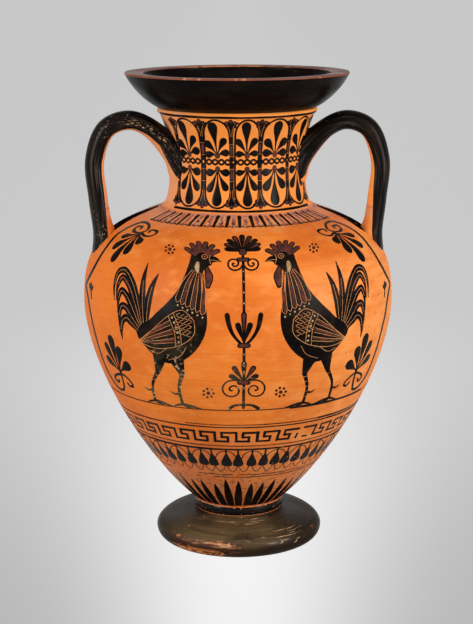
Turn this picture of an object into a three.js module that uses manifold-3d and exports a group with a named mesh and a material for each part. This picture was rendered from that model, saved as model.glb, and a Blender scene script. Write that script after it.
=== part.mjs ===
// A black-figure neck-amphora: thrown sections luted one on another, with two pulled handles.
// Millimetres, +Z up. The origin is the middle of the surface that the foot stands on.
import * as THREE from "three";
import { mergeVertices } from "three/addons/utils/BufferGeometryUtils.js";
import Module from "manifold-3d";

// Heights of the stacked sections
const footHeight = 31.3;
const filletHeight = 9;
const bodyHeight = 269.2;
const neckHeight = 86.5;
const mouthHeight = 34;

// Foot: a round-edged disc, hollowed below
const footRadius = 76.4;
const footEdgeHeight = 11;
const footRestRadius = 66.5;
const footRestWidth = 12;
const footTopRadius = 44.5;
const footHollowDepth = 13;
const footEdgeBend = { leave: [0.6, 0.07], arrive: [1, 0.45] };
const footTopBend = { leave: [0, 0.44], arrive: [0.55, 0.9] };
const footHollowBend = { leave: [0.5, 0], arrive: [0.9, 0.4] };

// Fillet: the clay ring that covers the joint of foot and body
const filletRadius = 43.8;
const filletBulge = 1.3;
const filletBore = 36;
const filletRoundShare = 0.2;

// Body: greatest width, how the wall leaves the base, and how it turns over at the belly
const bodyBaseRadius = 42.4;
const bellyRadius = 139.6;
const bellyRise = 187.7;
const flankRise = 37;
const flankSpread = 42.7;
const bellyRoundBelow = 58;
const bellyRoundAbove = 53.5;
const shoulderRun = 45;
const shoulderDrop = 16;
const bodyWall = 6;
const bodyFloor = 9;
const floorFlatShare = 0.6;

// Neck: spread at the shoulder, waist, and flare below the mouth
const neckFootRadius = 71.8;
const neckWaistRadius = 60.6;
const neckWaistRise = 40.5;
const neckTopRadius = 69.3;
const neckWall = 6.6;
const neckFootBend = { leave: [0.7, 0.07], arrive: [1, 0.4] };
const neckHeadBend = { leave: [0, 0.45], arrive: [0.4, 0.75] };
const neckBoreFlareShare = 0.4;

// Mouth: a rounded ridge, and an echinus bowl with a flat rim above it
const ridgeHeight = 6.3;
const ridgeNotch = 1.6;
const ridgeBend = { leave: [2.2, 0.2], arrive: [3.2, 0.8] };
const rimRadius = 99.8;
const rimWidth = 16.3;
const rimEdge = 2.2;
const rimFall = 0.7;
const rimLipShare = 0.3;
const rimCrownShare = 0.2;
const bowlBend = { leave: [0.42, 0.05], arrive: [0.8, 0.52] };
const bowlBoreBend = { leave: [0.08, 0.28], arrive: [0.65, 0.6] };

// Handles: section, and the heights of their roots and bends from the foot of the neck
const handleThickness = 17;
const handleWidth = 24;
const handleNeckRise = 49;
const handleTopRise = 77;
const handleOuterRise = 42;
const handleShoulderDrop = 28;
const handleBow = 3.8;
const handleArchShare = 0.56;
const handleRootDepth = 14;
const handleRootFlare = 0.75;
const handleRootWidening = 0.5;
const handleFlarePower = 6;
const handleInnerFlatness = 0.7;
const handleNeckDip = 1.2;
const handleShoulderDip = 1.5;
const handleClimb = [0.55, 0.78];
const handleOverArch = [0.64, 0.21];
const handleDescent = [0.62, 0.5];

// How far each handle was luted on towards the front, in degrees at its neck root and over its outer part
const rightHandleLean = [12, 4];
const leftHandleLean = [21, 7];
const handleLeanPart = 0.6;
const handleLeanRise = 0.12;

// Room left where a handle end is shaped to the wall behind it, and round the body's tenon
const luteGap = 0.3;

// Facets
const turnSteps = 56;
const handleSteps = 30;
const sectionSteps = 16;
const flankSteps = 11;
const shoulderSteps = 10;
const footTopSteps = 8;
const bowlSteps = 7;
const boreSteps = 6;
const shortSteps = 5;

// Heights worked out from the stack
const bodyBase = footHeight + filletHeight;
const bellyHeight = bodyBase + bellyRise;
const neckFoot = bodyBase + bodyHeight;
const mouthFoot = neckFoot + neckHeight;
const rimTop = mouthFoot + mouthHeight;
const neckWaist = neckFoot + neckWaistRise;

const clay = { color: 0xd8772f, roughness: 0.55, metalness: 0 };
const blackGloss = { color: 0x17120f, roughness: 0.32, metalness: 0 };
const brownGloss = { color: 0x2a1d16, roughness: 0.38, metalness: 0 };

const wasm = await Module();
wasm.setup();

// Points on a curved stretch of outline, from radius and height pairs
function curved(steps, start, leave, arrive, end) {
  const corners = [start, leave, arrive, end].map(([r, z]) => new THREE.Vector2(r, z));
  return new THREE.CubicBezierCurve(...corners).getPoints(steps);
}

// A point at shares of the run and the rise from one point to another
function between(start, end, [runShare, riseShare]) {
  const { lerp } = THREE.MathUtils;
  return [lerp(start[0], end[0], runShare), lerp(start[1], end[1], riseShare)];
}

// A curved stretch whose bend is given as shares of its run and rise
function bent(steps, start, end, bend) {
  return curved(steps, start, between(start, end, bend.leave), between(start, end, bend.arrive), end);
}

function at(radius, height) {
  return new THREE.Vector2(radius, height);
}

// An outline moved sideways by a distance, outwards if positive, for one that runs upwards
function offset(outline, distance) {
  return outline.map((point, i) => {
    const before = outline[Math.max(i - 1, 0)];
    const after = outline[Math.min(i + 1, outline.length - 1)];
    const along = after.clone().sub(before).normalize();
    return at(point.x + along.y * distance, point.y - along.x * distance);
  });
}

// One closed skin: shared corners joined, and triangles with no area left out
function closedSkin(geometry) {
  geometry.deleteAttribute("normal");
  geometry.deleteAttribute("uv");
  const merged = mergeVertices(geometry, 1e-4);
  const index = merged.index.array;
  const kept = [];
  for (let i = 0; i < index.length; i += 3) {
    const [a, b, c] = index.slice(i, i + 3);
    if (a !== b && b !== c && c !== a) kept.push(a, b, c);
  }
  merged.setIndex(kept);
  merged.computeVertexNormals();
  return merged;
}

// A solid turned about the axis from a profile that runs up its outside and down its inside
function turned(profile) {
  const loop = [...profile, profile[0].clone()];
  const geometry = new THREE.LatheGeometry(loop, turnSteps);
  geometry.rotateX(Math.PI / 2);
  return closedSkin(geometry);
}

function named(name, geometry, finish) {
  const mesh = new THREE.Mesh(geometry, new THREE.MeshStandardMaterial(finish));
  mesh.name = name;
  return mesh;
}

// Outside outlines, from the bottom upwards
function lowerBodyOutline() {
  return curved(
    flankSteps,
    [bodyBaseRadius, bodyBase],
    [bodyBaseRadius + flankSpread, bodyBase + flankRise],
    [bellyRadius, bellyHeight - bellyRoundBelow],
    [bellyRadius, bellyHeight],
  );
}

function upperBodyOutline() {
  return curved(
    shoulderSteps,
    [bellyRadius, bellyHeight],
    [bellyRadius, bellyHeight + bellyRoundAbove],
    [neckFootRadius + shoulderRun, neckFoot - shoulderDrop],
    [neckFootRadius, neckFoot],
  );
}

function neckOutline() {
  const waist = [neckWaistRadius, neckWaist];
  const lower = bent(boreSteps, [neckFootRadius, neckFoot], waist, neckFootBend);
  const upper = bent(shortSteps, waist, [neckTopRadius, mouthFoot], neckHeadBend);
  return [...lower, ...upper.slice(1)];
}

function mouthOutline() {
  const edgeFoot = rimTop - rimEdge;
  const lip = [rimRadius - rimEdge * rimLipShare, edgeFoot];
  const notch = [neckTopRadius + ridgeNotch, mouthFoot + ridgeHeight];
  const ridge = bent(shortSteps, [neckTopRadius, mouthFoot], notch, ridgeBend);
  const bowl = bent(bowlSteps, notch, lip, bowlBend);
  const edge = [at(rimRadius, rimTop - rimEdge / 2), at(rimRadius - rimEdge * rimCrownShare, rimTop)];
  return [...ridge, ...bowl.slice(1), ...edge];
}

// The widest radius of an outline at a height, for what is fixed to the wall there
function radiusAt(outline, height) {
  const upper = outline.findIndex((point) => point.y >= height);
  const [a, b] = [outline[upper - 1], outline[upper]];
  return THREE.MathUtils.mapLinear(height, a.y, b.y, a.x, b.x);
}

function foot() {
  const widest = [footRadius, footEdgeHeight];
  const hollowRadius = footRestRadius - footRestWidth;
  const edge = bent(shortSteps, [footRestRadius, 0], widest, footEdgeBend);
  const top = bent(footTopSteps, widest, [footTopRadius, footHeight], footTopBend);
  const hollow = bent(shortSteps, [0, footHollowDepth], [hollowRadius, 0], footHollowBend);
  return turned([...edge, ...top.slice(1), at(0, footHeight), ...hollow]);
}

function footFillet() {
  const round = filletHeight * filletRoundShare;
  const ring = curved(
    shortSteps,
    [filletRadius - filletBulge, footHeight],
    [filletRadius, footHeight + round],
    [filletRadius, bodyBase - round],
    [filletRadius - filletBulge, bodyBase],
  );
  return turned([...ring, at(filletBore, bodyBase), at(filletBore, footHeight)]);
}

// The lower bowl, with the tenon that stands on the foot inside the fillet
function lowerBody() {
  const outside = lowerBodyOutline();
  const floorHeight = bodyBase + bodyFloor;
  const tenonRadius = filletBore - luteGap;
  const inside = offset(outside, -bodyWall).filter((point) => point.y > floorHeight);
  inside[inside.length - 1] = at(bellyRadius - bodyWall, bellyHeight);
  const floorRadius = inside[0].x * floorFlatShare;
  return turned([
    at(0, footHeight),
    at(tenonRadius, footHeight),
    at(tenonRadius, bodyBase),
    ...outside,
    ...inside.reverse(),
    at(floorRadius, floorHeight),
    at(0, floorHeight),
  ]);
}

// The shoulder section, from the belly seam to the hole under the neck
function upperBody() {
  const outside = upperBodyOutline();
  const bore = neckWaistRadius - neckWall;
  const inside = offset(outside, -bodyWall);
  inside[0] = at(bellyRadius - bodyWall, bellyHeight);
  return turned([...outside, at(bore, neckFoot), at(bore, neckFoot - bodyWall), ...inside.reverse()]);
}

function neck() {
  const outside = neckOutline();
  const bore = neckWaistRadius - neckWall;
  const flareFoot = THREE.MathUtils.lerp(mouthFoot, neckWaist, neckBoreFlareShare);
  const inside = curved(
    shortSteps,
    [neckTopRadius - neckWall, mouthFoot],
    [bore, flareFoot],
    [bore, neckWaist],
    [bore, neckFoot],
  );
  return turned([...outside, ...inside]);
}

function mouth() {
  const innerEdge = [rimRadius - rimWidth, rimTop - rimFall];
  const bore = [neckTopRadius - neckWall, mouthFoot];
  return turned([...mouthOutline(), ...bent(boreSteps, innerEdge, bore, bowlBoreBend)]);
}

// The line along the middle of a handle, before it leans
function handleLine() {
  const neckRoot = neckFoot + handleNeckRise;
  const shoulderRoot = neckFoot - handleShoulderDrop;
  const neckX = radiusAt(neckOutline(), neckRoot);
  const shoulderX = radiusAt(upperBodyOutline(), shoulderRoot);
  const outerX = shoulderX + handleBow;
  const archX = THREE.MathUtils.lerp(neckX, outerX, handleArchShare);
  const top = [archX, neckFoot + handleTopRise];
  const outer = [outerX, neckFoot + handleOuterRise];
  const points = [
    [neckX - handleRootDepth, neckRoot - handleRootDepth * handleNeckDip],
    [neckX, neckRoot],
    between([neckX, neckRoot], top, handleClimb),
    top,
    between(top, outer, handleOverArch),
    outer,
    between(outer, [shoulderX, shoulderRoot], handleDescent),
    [shoulderX - handleBow / 2, shoulderRoot],
    [shoulderX - handleBow, shoulderRoot - handleRootDepth * handleShoulderDip],
  ];
  return new THREE.CatmullRomCurve3(points.map(([x, z]) => new THREE.Vector3(x, 0, z)), false, "centripetal");
}

// One ring of a handle: rounded outside, flatter towards the vase, and swelling at the roots
function handleRing(line, share) {
  const middle = line.getPointAt(share);
  const along = line.getTangentAt(share);
  const outward = new THREE.Vector3(-along.z, 0, along.x);
  const nearRoot = Math.abs(2 * share - 1) ** handleFlarePower;
  const halfThickness = (handleThickness / 2) * (1 + handleRootFlare * nearRoot);
  const halfWidth = (handleWidth / 2) * (1 + handleRootFlare * handleRootWidening * nearRoot);
  const ring = [];
  for (let i = 0; i < sectionSteps; i += 1) {
    const turn = (2 * Math.PI * i) / sectionSteps;
    const power = Math.cos(turn) > 0 ? 1 : handleInnerFlatness;
    const lift = Math.sign(Math.cos(turn)) * Math.abs(Math.cos(turn)) ** power * halfThickness;
    const point = middle.clone().addScaledVector(outward, lift);
    point.y = Math.sin(turn) * halfWidth;
    ring.push(point);
  }
  return ring;
}

// A ring turned about the axis towards the front, by a lean that eases off from the neck root
function leaned(ring, share, [neckLean, outerLean], front) {
  const { degToRad, lerp, smoothstep } = THREE.MathUtils;
  const turn = degToRad(lerp(neckLean, outerLean, smoothstep(share, 0, handleLeanPart)));
  return ring.map((point) => {
    const moved = point.clone().applyAxisAngle(new THREE.Vector3(0, 0, 1), front * turn);
    moved.z += handleLeanRise * point.x * Math.sin(turn);
    return moved;
  });
}

// A handle as a loft through its rings, closed at both ends
function handleLoft(lean, front) {
  const line = handleLine();
  const corners = [];
  for (let i = 0; i <= handleSteps; i += 1) {
    const share = i / handleSteps;
    corners.push(...leaned(handleRing(line, share), share, lean, front));
  }
  const index = [];
  for (let i = 0; i < handleSteps; i += 1) {
    for (let j = 0; j < sectionSteps; j += 1) {
      const next = (j + 1) % sectionSteps;
      const [a, b] = [i * sectionSteps + j, i * sectionSteps + next];
      index.push(a, a + sectionSteps, b, b, a + sectionSteps, b + sectionSteps);
    }
  }
  const last = handleSteps * sectionSteps;
  for (let j = 1; j < sectionSteps - 1; j += 1) {
    index.push(0, j, j + 1);
    index.push(last, last + j + 1, last + j);
  }
  const geometry = new THREE.BufferGeometry().setFromPoints(corners);
  geometry.setIndex(index);
  return geometry;
}

function toSolid(geometry) {
  const vertProperties = new Float32Array(geometry.attributes.position.array);
  const triVerts = new Uint32Array(geometry.index.array);
  return new wasm.Manifold(new wasm.Mesh({ numProp: 3, vertProperties, triVerts }));
}

function toGeometry(solid) {
  const { vertProperties, triVerts } = solid.getMesh();
  const geometry = new THREE.BufferGeometry();
  geometry.setAttribute("position", new THREE.BufferAttribute(new Float32Array(vertProperties), 3));
  geometry.setIndex(Array.from(triVerts));
  geometry.computeVertexNormals();
  return geometry;
}

// The vase without its handles, a little larger all round, to shape the handle ends to the wall
function wallEnvelope() {
  const wall = [...lowerBodyOutline(), ...upperBodyOutline().slice(1), ...neckOutline().slice(1)];
  const outside = offset(wall, luteGap);
  return turned([at(0, outside[0].y), ...outside, at(0, outside[outside.length - 1].y)]);
}

function handle(lean, front) {
  return toGeometry(toSolid(handleLoft(lean, front)).subtract(toSolid(wallEnvelope())));
}

function amphora() {
  const vase = new THREE.Group();
  vase.name = "amphora";
  vase.add(named("foot", foot(), brownGloss));
  vase.add(named("foot_fillet", footFillet(), blackGloss));
  vase.add(named("lower_body", lowerBody(), clay));
  vase.add(named("upper_body", upperBody(), clay));
  vase.add(named("neck", neck(), clay));
  vase.add(named("mouth", mouth(), blackGloss));
  const rightHandle = named("right_handle", handle(rightHandleLean, -1), blackGloss);
  const leftHandle = named("left_handle", handle(leftHandleLean, 1), blackGloss);
  leftHandle.rotation.z = Math.PI;
  vase.add(rightHandle, leftHandle);
  return vase;
}

export default amphora();
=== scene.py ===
"""A black-figure neck-amphora: turned clay walls, pulled handles, and slip laid on as thin raised shells."""
import math
import random

import bmesh
import bpy
import numpy as np
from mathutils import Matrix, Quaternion, Vector
from mathutils.geometry import delaunay_2d_cdt


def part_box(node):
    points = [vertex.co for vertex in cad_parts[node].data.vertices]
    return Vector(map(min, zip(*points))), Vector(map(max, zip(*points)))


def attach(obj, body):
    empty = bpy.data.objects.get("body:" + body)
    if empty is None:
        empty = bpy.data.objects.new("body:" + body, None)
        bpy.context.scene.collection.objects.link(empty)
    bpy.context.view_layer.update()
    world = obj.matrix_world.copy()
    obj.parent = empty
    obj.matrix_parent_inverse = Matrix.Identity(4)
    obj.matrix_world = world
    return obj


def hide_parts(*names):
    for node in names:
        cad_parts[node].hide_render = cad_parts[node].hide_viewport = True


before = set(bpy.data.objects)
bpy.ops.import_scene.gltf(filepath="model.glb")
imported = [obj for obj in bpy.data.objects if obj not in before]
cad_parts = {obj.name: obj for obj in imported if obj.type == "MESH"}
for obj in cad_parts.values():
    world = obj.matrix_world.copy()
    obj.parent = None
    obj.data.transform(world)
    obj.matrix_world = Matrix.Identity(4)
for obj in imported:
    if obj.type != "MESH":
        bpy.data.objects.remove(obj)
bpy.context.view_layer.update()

# The drawing is in millimetres and degrees, and the meshes are in metres
MM = 0.001


def top_of(node):
    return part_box(node)[1].z / MM


def radius_of(node):
    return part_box(node)[1].x / MM


# How much lower the fillet and the body's base sit here than in the solids
FILLET_DROP = 1.9

# Heights and greatest radii, from the parts in model.glb
FOOT_TOP = top_of("foot") - FILLET_DROP
BODY_BASE = top_of("foot_fillet") - FILLET_DROP
BELLY = top_of("lower_body")
NECK_FOOT = top_of("upper_body")
MOUTH_FOOT = top_of("neck")
RIM_TOP = top_of("mouth")
FOOT_RADIUS = radius_of("foot")
BELLY_RADIUS = radius_of("lower_body")
NECK_FOOT_RADIUS = radius_of("neck")
RIM_RADIUS = radius_of("mouth")

# The other sizes of the outline
FOOT_EDGE = 11
FOOT_REST_RADIUS = 66.5
FOOT_HOLLOW_RADIUS = 54.5
FOOT_HOLLOW_DEPTH = 13
FOOT_TOP_RADIUS = 42.4
FILLET_RADIUS = 41.3
FILLET_BULGE = 1.2
FILLET_ROUND = 1.8
FILLET_BORE = 34
BASE_RADIUS = 39.8
FLANK_SPREAD = 40.9
FLANK_RISE = 33.8
ROUND_BELOW = 63.3
ROUND_ABOVE = 53.5
SHOULDER_RUN = 45
SHOULDER_DROP = 16
WALL_THICKNESS = 6
BODY_FLOOR = 9
WAIST_RADIUS = 60.6
WAIST = NECK_FOOT + 40.5
COLLAR_INSET = 2.5
COLLAR_HEIGHT = 1.1
COLLAR_ROUND = 0.55
RIDGE_FOOT = MOUTH_FOOT - 2
NECK_TOP_RADIUS = 69.4
NECK_WALL = 6.6
BORE_SPREAD = 18.4
RIM_WIDTH = 16.3
RIM_EDGE = 3.2
RIM_FALL = 0.7
RIM_ROUND = ((0.44, 0.1), (1.2, 0))
RIM_INNER_ROUND = ((0.9, 0.1), (0, -0.5))
MOUTH_SLIP = MOUTH_FOOT + 2.6
RIDGE_NOTCH = 0.5
RIDGE_BULGE = 2.6

# The mark that the painted bands are measured from, up the wall from the body's base
BAND_MARK = 3.3

# How far slip stands on the clay, and how far its edges are sunk
PROUD = 0.13
SUNK = -0.06
OVERPAINT = 0.07
# The share of a stroke that is laid on full, and the greatest width of its facets
FULL_SHARE = 0.86
STROKE_FACET = 2.2
# The turns at which the round end of a stroke has its points
END_TURNS = (25, 50, 70, 86)

# Facets, and the distances in metres at which points are one and edges are nothing
SEGMENTS = 256
OUTLINE_STEPS = 48
SAME_POINT = 1e-7
NO_EDGE = 1e-8
# Edges sharper than these degrees stay sharp
TURNED_EDGE = 35
PULLED_EDGE = 60
PAINTED_EDGE = 70

# The name of the places along and across a handle, for its brush marks
STRAP = "strap"


def bezier(start, leave, arrive, end, steps=OUTLINE_STEPS):
    t = np.linspace(0, 1, steps + 1)[:, None]
    weights = ((1 - t) ** 3, 3 * t * (1 - t) ** 2, 3 * t * t * (1 - t), t ** 3)
    return sum(np.array(p, float) * w for p, w in zip((start, leave, arrive, end), weights))


def bent(start, end, leave, arrive, steps=OUTLINE_STEPS):
    """A curve whose bend is given as shares of its run and its rise."""
    start, end = np.array(start, float), np.array(end, float)
    run = end - start
    return bezier(start, start + run * leave, start + run * arrive, end, steps)


def unit(rows):
    """Directions of length one."""
    return rows / np.maximum(np.linalg.norm(rows, axis=1), 1e-9)[:, None]


def flank_outline():
    return bezier(
        (BASE_RADIUS, BODY_BASE),
        (BASE_RADIUS + FLANK_SPREAD, BODY_BASE + FLANK_RISE),
        (BELLY_RADIUS, BELLY - ROUND_BELOW),
        (BELLY_RADIUS, BELLY),
    )


def shoulder_outline():
    return bezier(
        (BELLY_RADIUS, BELLY),
        (BELLY_RADIUS, BELLY + ROUND_ABOVE),
        (NECK_FOOT_RADIUS + SHOULDER_RUN, NECK_FOOT - SHOULDER_DROP),
        (NECK_FOOT_RADIUS, NECK_FOOT),
    )


def neck_outline():
    """The neck's outside: a low raised edge round its foot, drawn in to the waist and out again."""
    waist = (WAIST_RADIUS, WAIST)
    radius = NECK_FOOT_RADIUS - COLLAR_INSET
    height = NECK_FOOT + COLLAR_INSET * SHOULDER_DROP / SHOULDER_RUN
    collar = [(NECK_FOOT_RADIUS, NECK_FOOT), (radius, height), (radius - 0.1, height + 0.7 * COLLAR_HEIGHT)]
    lower = bent((radius - COLLAR_ROUND, height + COLLAR_HEIGHT), waist, (0.72, 0.05), (1, 0.4))
    upper = bent(waist, (NECK_TOP_RADIUS, RIDGE_FOOT), (0, 0.45), (0.4, 0.75))
    return np.vstack([collar, lower, upper[1:]])


def bowl_outline():
    """The mouth's outside: a rounded ridge at its foot, and the bowl above it."""
    lip = (RIM_RADIUS - 0.3 * RIM_EDGE, RIM_TOP - RIM_EDGE)
    notch = (NECK_TOP_RADIUS + RIDGE_NOTCH, MOUTH_SLIP)
    crest = NECK_TOP_RADIUS + RIDGE_BULGE
    base = (NECK_TOP_RADIUS, RIDGE_FOOT)
    ridge = bezier(base, (crest, RIDGE_FOOT + 0.5), (crest, MOUTH_SLIP - 0.6), notch, 10)
    bowl = bent(notch, lip, (0.34, 0.17), (0.76, 0.53))
    return np.vstack([ridge, bowl[1:]])


class Wall:
    """The painted wall from the body's base to the lip, measured along its outline from the bands' mark."""

    def __init__(self, *stretches):
        outline = np.vstack([stretches[0], *[part[1:] for part in stretches[1:]]])
        self.r, self.z = outline.T
        steps = np.hypot(np.diff(self.r), np.diff(self.z))
        self.s = np.concatenate([[0], np.cumsum(steps)]) - BAND_MARK
        slope = unit(np.gradient(outline, self.s, axis=0))
        self.out_r, self.out_z = slope[:, 1], -slope[:, 0]

    def radius(self, s):
        return np.interp(s, self.s, self.r)

    def s_at(self, height):
        return float(np.interp(height, self.z, self.s))

    def place(self, angle, s, lift):
        """Points on the wall; angle 0 faces the front and grows to the right."""
        r = np.interp(s, self.s, self.r) + lift * np.interp(s, self.s, self.out_r)
        z = np.interp(s, self.s, self.z) + lift * np.interp(s, self.s, self.out_z)
        return np.stack([r * np.sin(angle), -r * np.cos(angle), z], -1)

    def nearest(self, r, z):
        """How far outside the wall points beside it lie, and the wall's rows that are nearest to them."""
        gap_r = r[:, None] - self.r
        gap_z = z[:, None] - self.z
        i = np.argmin(gap_r ** 2 + gap_z ** 2, axis=1)
        rows = np.arange(len(r))
        distance = gap_r[rows, i] * self.out_r[i] + gap_z[rows, i] * self.out_z[i]
        return distance, i


WALL = Wall(flank_outline(), shoulder_outline(), neck_outline(), bowl_outline())


def tube_faces(rows, count, closed):
    """Quads of a tube whose rings of count points follow one another, joined up if closed."""
    i = np.arange(rows if closed else rows - 1)[:, None]
    k = np.arange(count)[None, :]
    beside = (k + 1) % count
    after = (i + 1) % rows
    corners = [i * count + k, i * count + beside, after * count + beside, after * count + k]
    return np.stack(np.broadcast_arrays(*corners), -1).reshape(-1, 4)


def add_object(name, data):
    thing = bpy.data.objects.new(name, data)
    bpy.context.scene.collection.objects.link(thing)
    return thing


def make_piece(name, points, faces, materials, marks=None, sharp=TURNED_EDGE, replaces=(), strap=None):
    """A mesh in millimetres as one piece of the vase."""
    mesh = bpy.data.meshes.new(name)
    mesh.from_pydata((np.asarray(points) * MM).tolist(), [], faces)
    for material in materials:
        mesh.materials.append(material)
    if marks is not None:
        mesh.polygons.foreach_set("material_index", np.asarray(marks, np.int32))
    if strap is not None:
        places = mesh.attributes.new(STRAP, "FLOAT_VECTOR", "POINT")
        places.data.foreach_set("vector", (np.asarray(strap, np.float32) * MM).ravel())
    work = bmesh.new()
    work.from_mesh(mesh)
    bmesh.ops.remove_doubles(work, verts=work.verts, dist=SAME_POINT)
    bmesh.ops.dissolve_degenerate(work, edges=work.edges, dist=NO_EDGE)
    bmesh.ops.recalc_face_normals(work, faces=work.faces)
    work.to_mesh(mesh)
    work.free()
    mesh.shade_smooth()
    mesh.set_sharp_from_angle(angle=math.radians(sharp))
    piece = add_object(name, mesh)
    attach(piece, "root")
    if replaces:
        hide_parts(*replaces)
    return piece


def lathe(name, outline, materials, finish_of=None, closed=False, replaces=()):
    """A piece turned about the axis; finish_of gives a stretch's material number from its middle."""
    outline = np.asarray(outline, float)
    turn = 2 * math.pi * np.arange(SEGMENTS) / SEGMENTS
    r, z = outline[:, :1], outline[:, 1:]
    points = np.stack(np.broadcast_arrays(r * np.sin(turn), -r * np.cos(turn), z), -1).reshape(-1, 3)
    faces = tube_faces(len(outline), SEGMENTS, closed)
    marks = None
    if finish_of:
        following = np.roll(outline, -1, axis=0)[: len(faces) // SEGMENTS]
        middles = (outline[: len(following)] + following) / 2
        marks = np.repeat([finish_of(i, *middle) for i, middle in enumerate(middles)], SEGMENTS)
    return make_piece(name, points, faces.tolist(), materials, marks, replaces=replaces)


class Finish:
    """A material built from nodes, coat over coat, with places on the vase in metres as its coordinates."""

    def __init__(self, name, ground, **sockets):
        self.material = bpy.data.materials.new(name)
        self.material.use_nodes = True
        self.tree = self.material.node_tree
        self.shader = self.tree.nodes["Principled BSDF"]
        for socket, value in sockets.items():
            self.give(self.shader.inputs[socket.replace("_", " ")], value)
        self.coat = ground
        self.place = self.tree.nodes.new("ShaderNodeTexCoord").outputs["Object"]
        self.across, self.depth, self.height = self.parts_of_place()

    def add(self, kind, settings=None, **inputs):
        node = self.tree.nodes.new(kind)
        for key, value in (settings or {}).items():
            setattr(node, key, value)
        for key, value in inputs.items():
            self.give(node.inputs[key.replace("_", " ")], value)
        return node

    def give(self, socket, value):
        """A link from another socket, or a constant; a colour has three parts."""
        if isinstance(value, bpy.types.NodeSocket):
            self.tree.links.new(value, socket)
        else:
            socket.default_value = (*value, 1) if socket.type == "RGBA" else value

    def parts_of_place(self):
        return self.add("ShaderNodeSeparateXYZ", Vector=self.place).outputs

    def noise(self, scale, detail=4, stretch=(1, 1, 1), offset=0):
        mapped = self.add("ShaderNodeMapping", Vector=self.place, Scale=stretch, Location=(offset, 0, offset))
        settings = {"noise_dimensions": "3D"}
        noise = self.add("ShaderNodeTexNoise", settings, Vector=mapped.outputs[0], Scale=scale, Detail=detail)
        return noise.outputs["Fac"]

    def use_round_places(self):
        """Noises measured by the way round in radians, the distance from the axis and the height."""
        squares = [self.maths("MULTIPLY", v, v) for v in (self.across, self.depth)]
        self.radius = self.maths("SQRT", self.maths("ADD", *squares))
        self.angle = self.maths("ARCTAN2", self.across, self.maths("MULTIPLY", self.depth, -1))
        self.place = self.add("ShaderNodeCombineXYZ", X=self.angle, Y=self.radius, Z=self.height).outputs[0]

    def maths(self, operation, a, b=0.0):
        node = self.add("ShaderNodeMath", {"operation": operation})
        self.give(node.inputs[0], a)
        self.give(node.inputs[1], b)
        return node.outputs[0]

    def both(self, *shares):
        """The product of several shares."""
        product = shares[0]
        for share in shares[1:]:
            product = self.maths("MULTIPLY", product, share)
        return product

    def fade(self, value, start, end, low=0.0, high=1.0):
        """Low up to start, high from end on, and smooth between them."""
        settings = {"interpolation_type": "SMOOTHSTEP"}
        ends = {"From_Min": start, "From_Max": end, "To_Min": low, "To_Max": high}
        return self.add("ShaderNodeMapRange", settings, Value=value, **ends).outputs["Result"]

    def between(self, value, start, full, falling, end):
        """A share that rises from start to full, and falls again to nothing at end."""
        return self.both(self.fade(value, start, full), self.fade(value, end, falling))

    def lay(self, colour, *shares):
        """One more coat, as dense as the product of its shares."""
        mix = self.add("ShaderNodeMix", {"data_type": "RGBA"}, Factor=self.both(*shares))
        below, above = mix.inputs[6:8]
        self.give(below, self.coat)
        self.give(above, colour)
        self.coat = mix.outputs[2]

    def bump(self, height, strength, distance):
        bump = self.add("ShaderNodeBump", Height=height, Strength=strength, Distance=distance)
        self.give(self.shader.inputs["Normal"], bump.outputs[0])

    def roughness(self, value):
        self.give(self.shader.inputs["Roughness"], value)

    def done(self):
        self.give(self.shader.inputs["Base Color"], self.coat)
        return self.material


# Colours, linear
CLAY = (0.80, 0.205, 0.024)
CLAY_DEEP = (0.66, 0.142, 0.014)
CLAY_PALE = (0.88, 0.305, 0.072)
CLAY_YELLOW = (0.86, 0.30, 0.052)
CLAY_ROSE = (0.56, 0.200, 0.092)
CLAY_STAIN = (0.25, 0.075, 0.025)
CHIP = (0.62, 0.21, 0.065)
FLECK = (0.62, 0.38, 0.20)
INCISION = (0.60, 0.30, 0.11)
CLAY_PINK = (0.66, 0.29, 0.15)
OLIVE_WORN = (0.070, 0.056, 0.032)
FOOT_RUBBED = (0.46, 0.17, 0.065)
FOOT_RED = (0.110, 0.036, 0.020)
FOOT_STREAK = (0.150, 0.100, 0.052)
BRUSHED = (0.052, 0.038, 0.029)
BLACK = (0.0042, 0.0031, 0.0028)
BLACK_BROWN = (0.026, 0.014, 0.008)
BLACK_OLIVE = (0.020, 0.018, 0.010)
BROWN_LINE = (0.050, 0.018, 0.008)
FOOT_BROWN = (0.105, 0.064, 0.027)
FOOT_DARK = (0.015, 0.0095, 0.0065)
RIM_RED = (0.22, 0.056, 0.029)
RIM_DULL = (0.125, 0.052, 0.040)
RED = (0.120, 0.026, 0.018)
RED_PALE = (0.42, 0.135, 0.095)
RED_WORN = (0.045, 0.018, 0.013)
ROSE_WHITE = (0.78, 0.47, 0.34)
CREAM = (0.46, 0.31, 0.16)
CREAM_WORN = (0.30, 0.15, 0.06)


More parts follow.
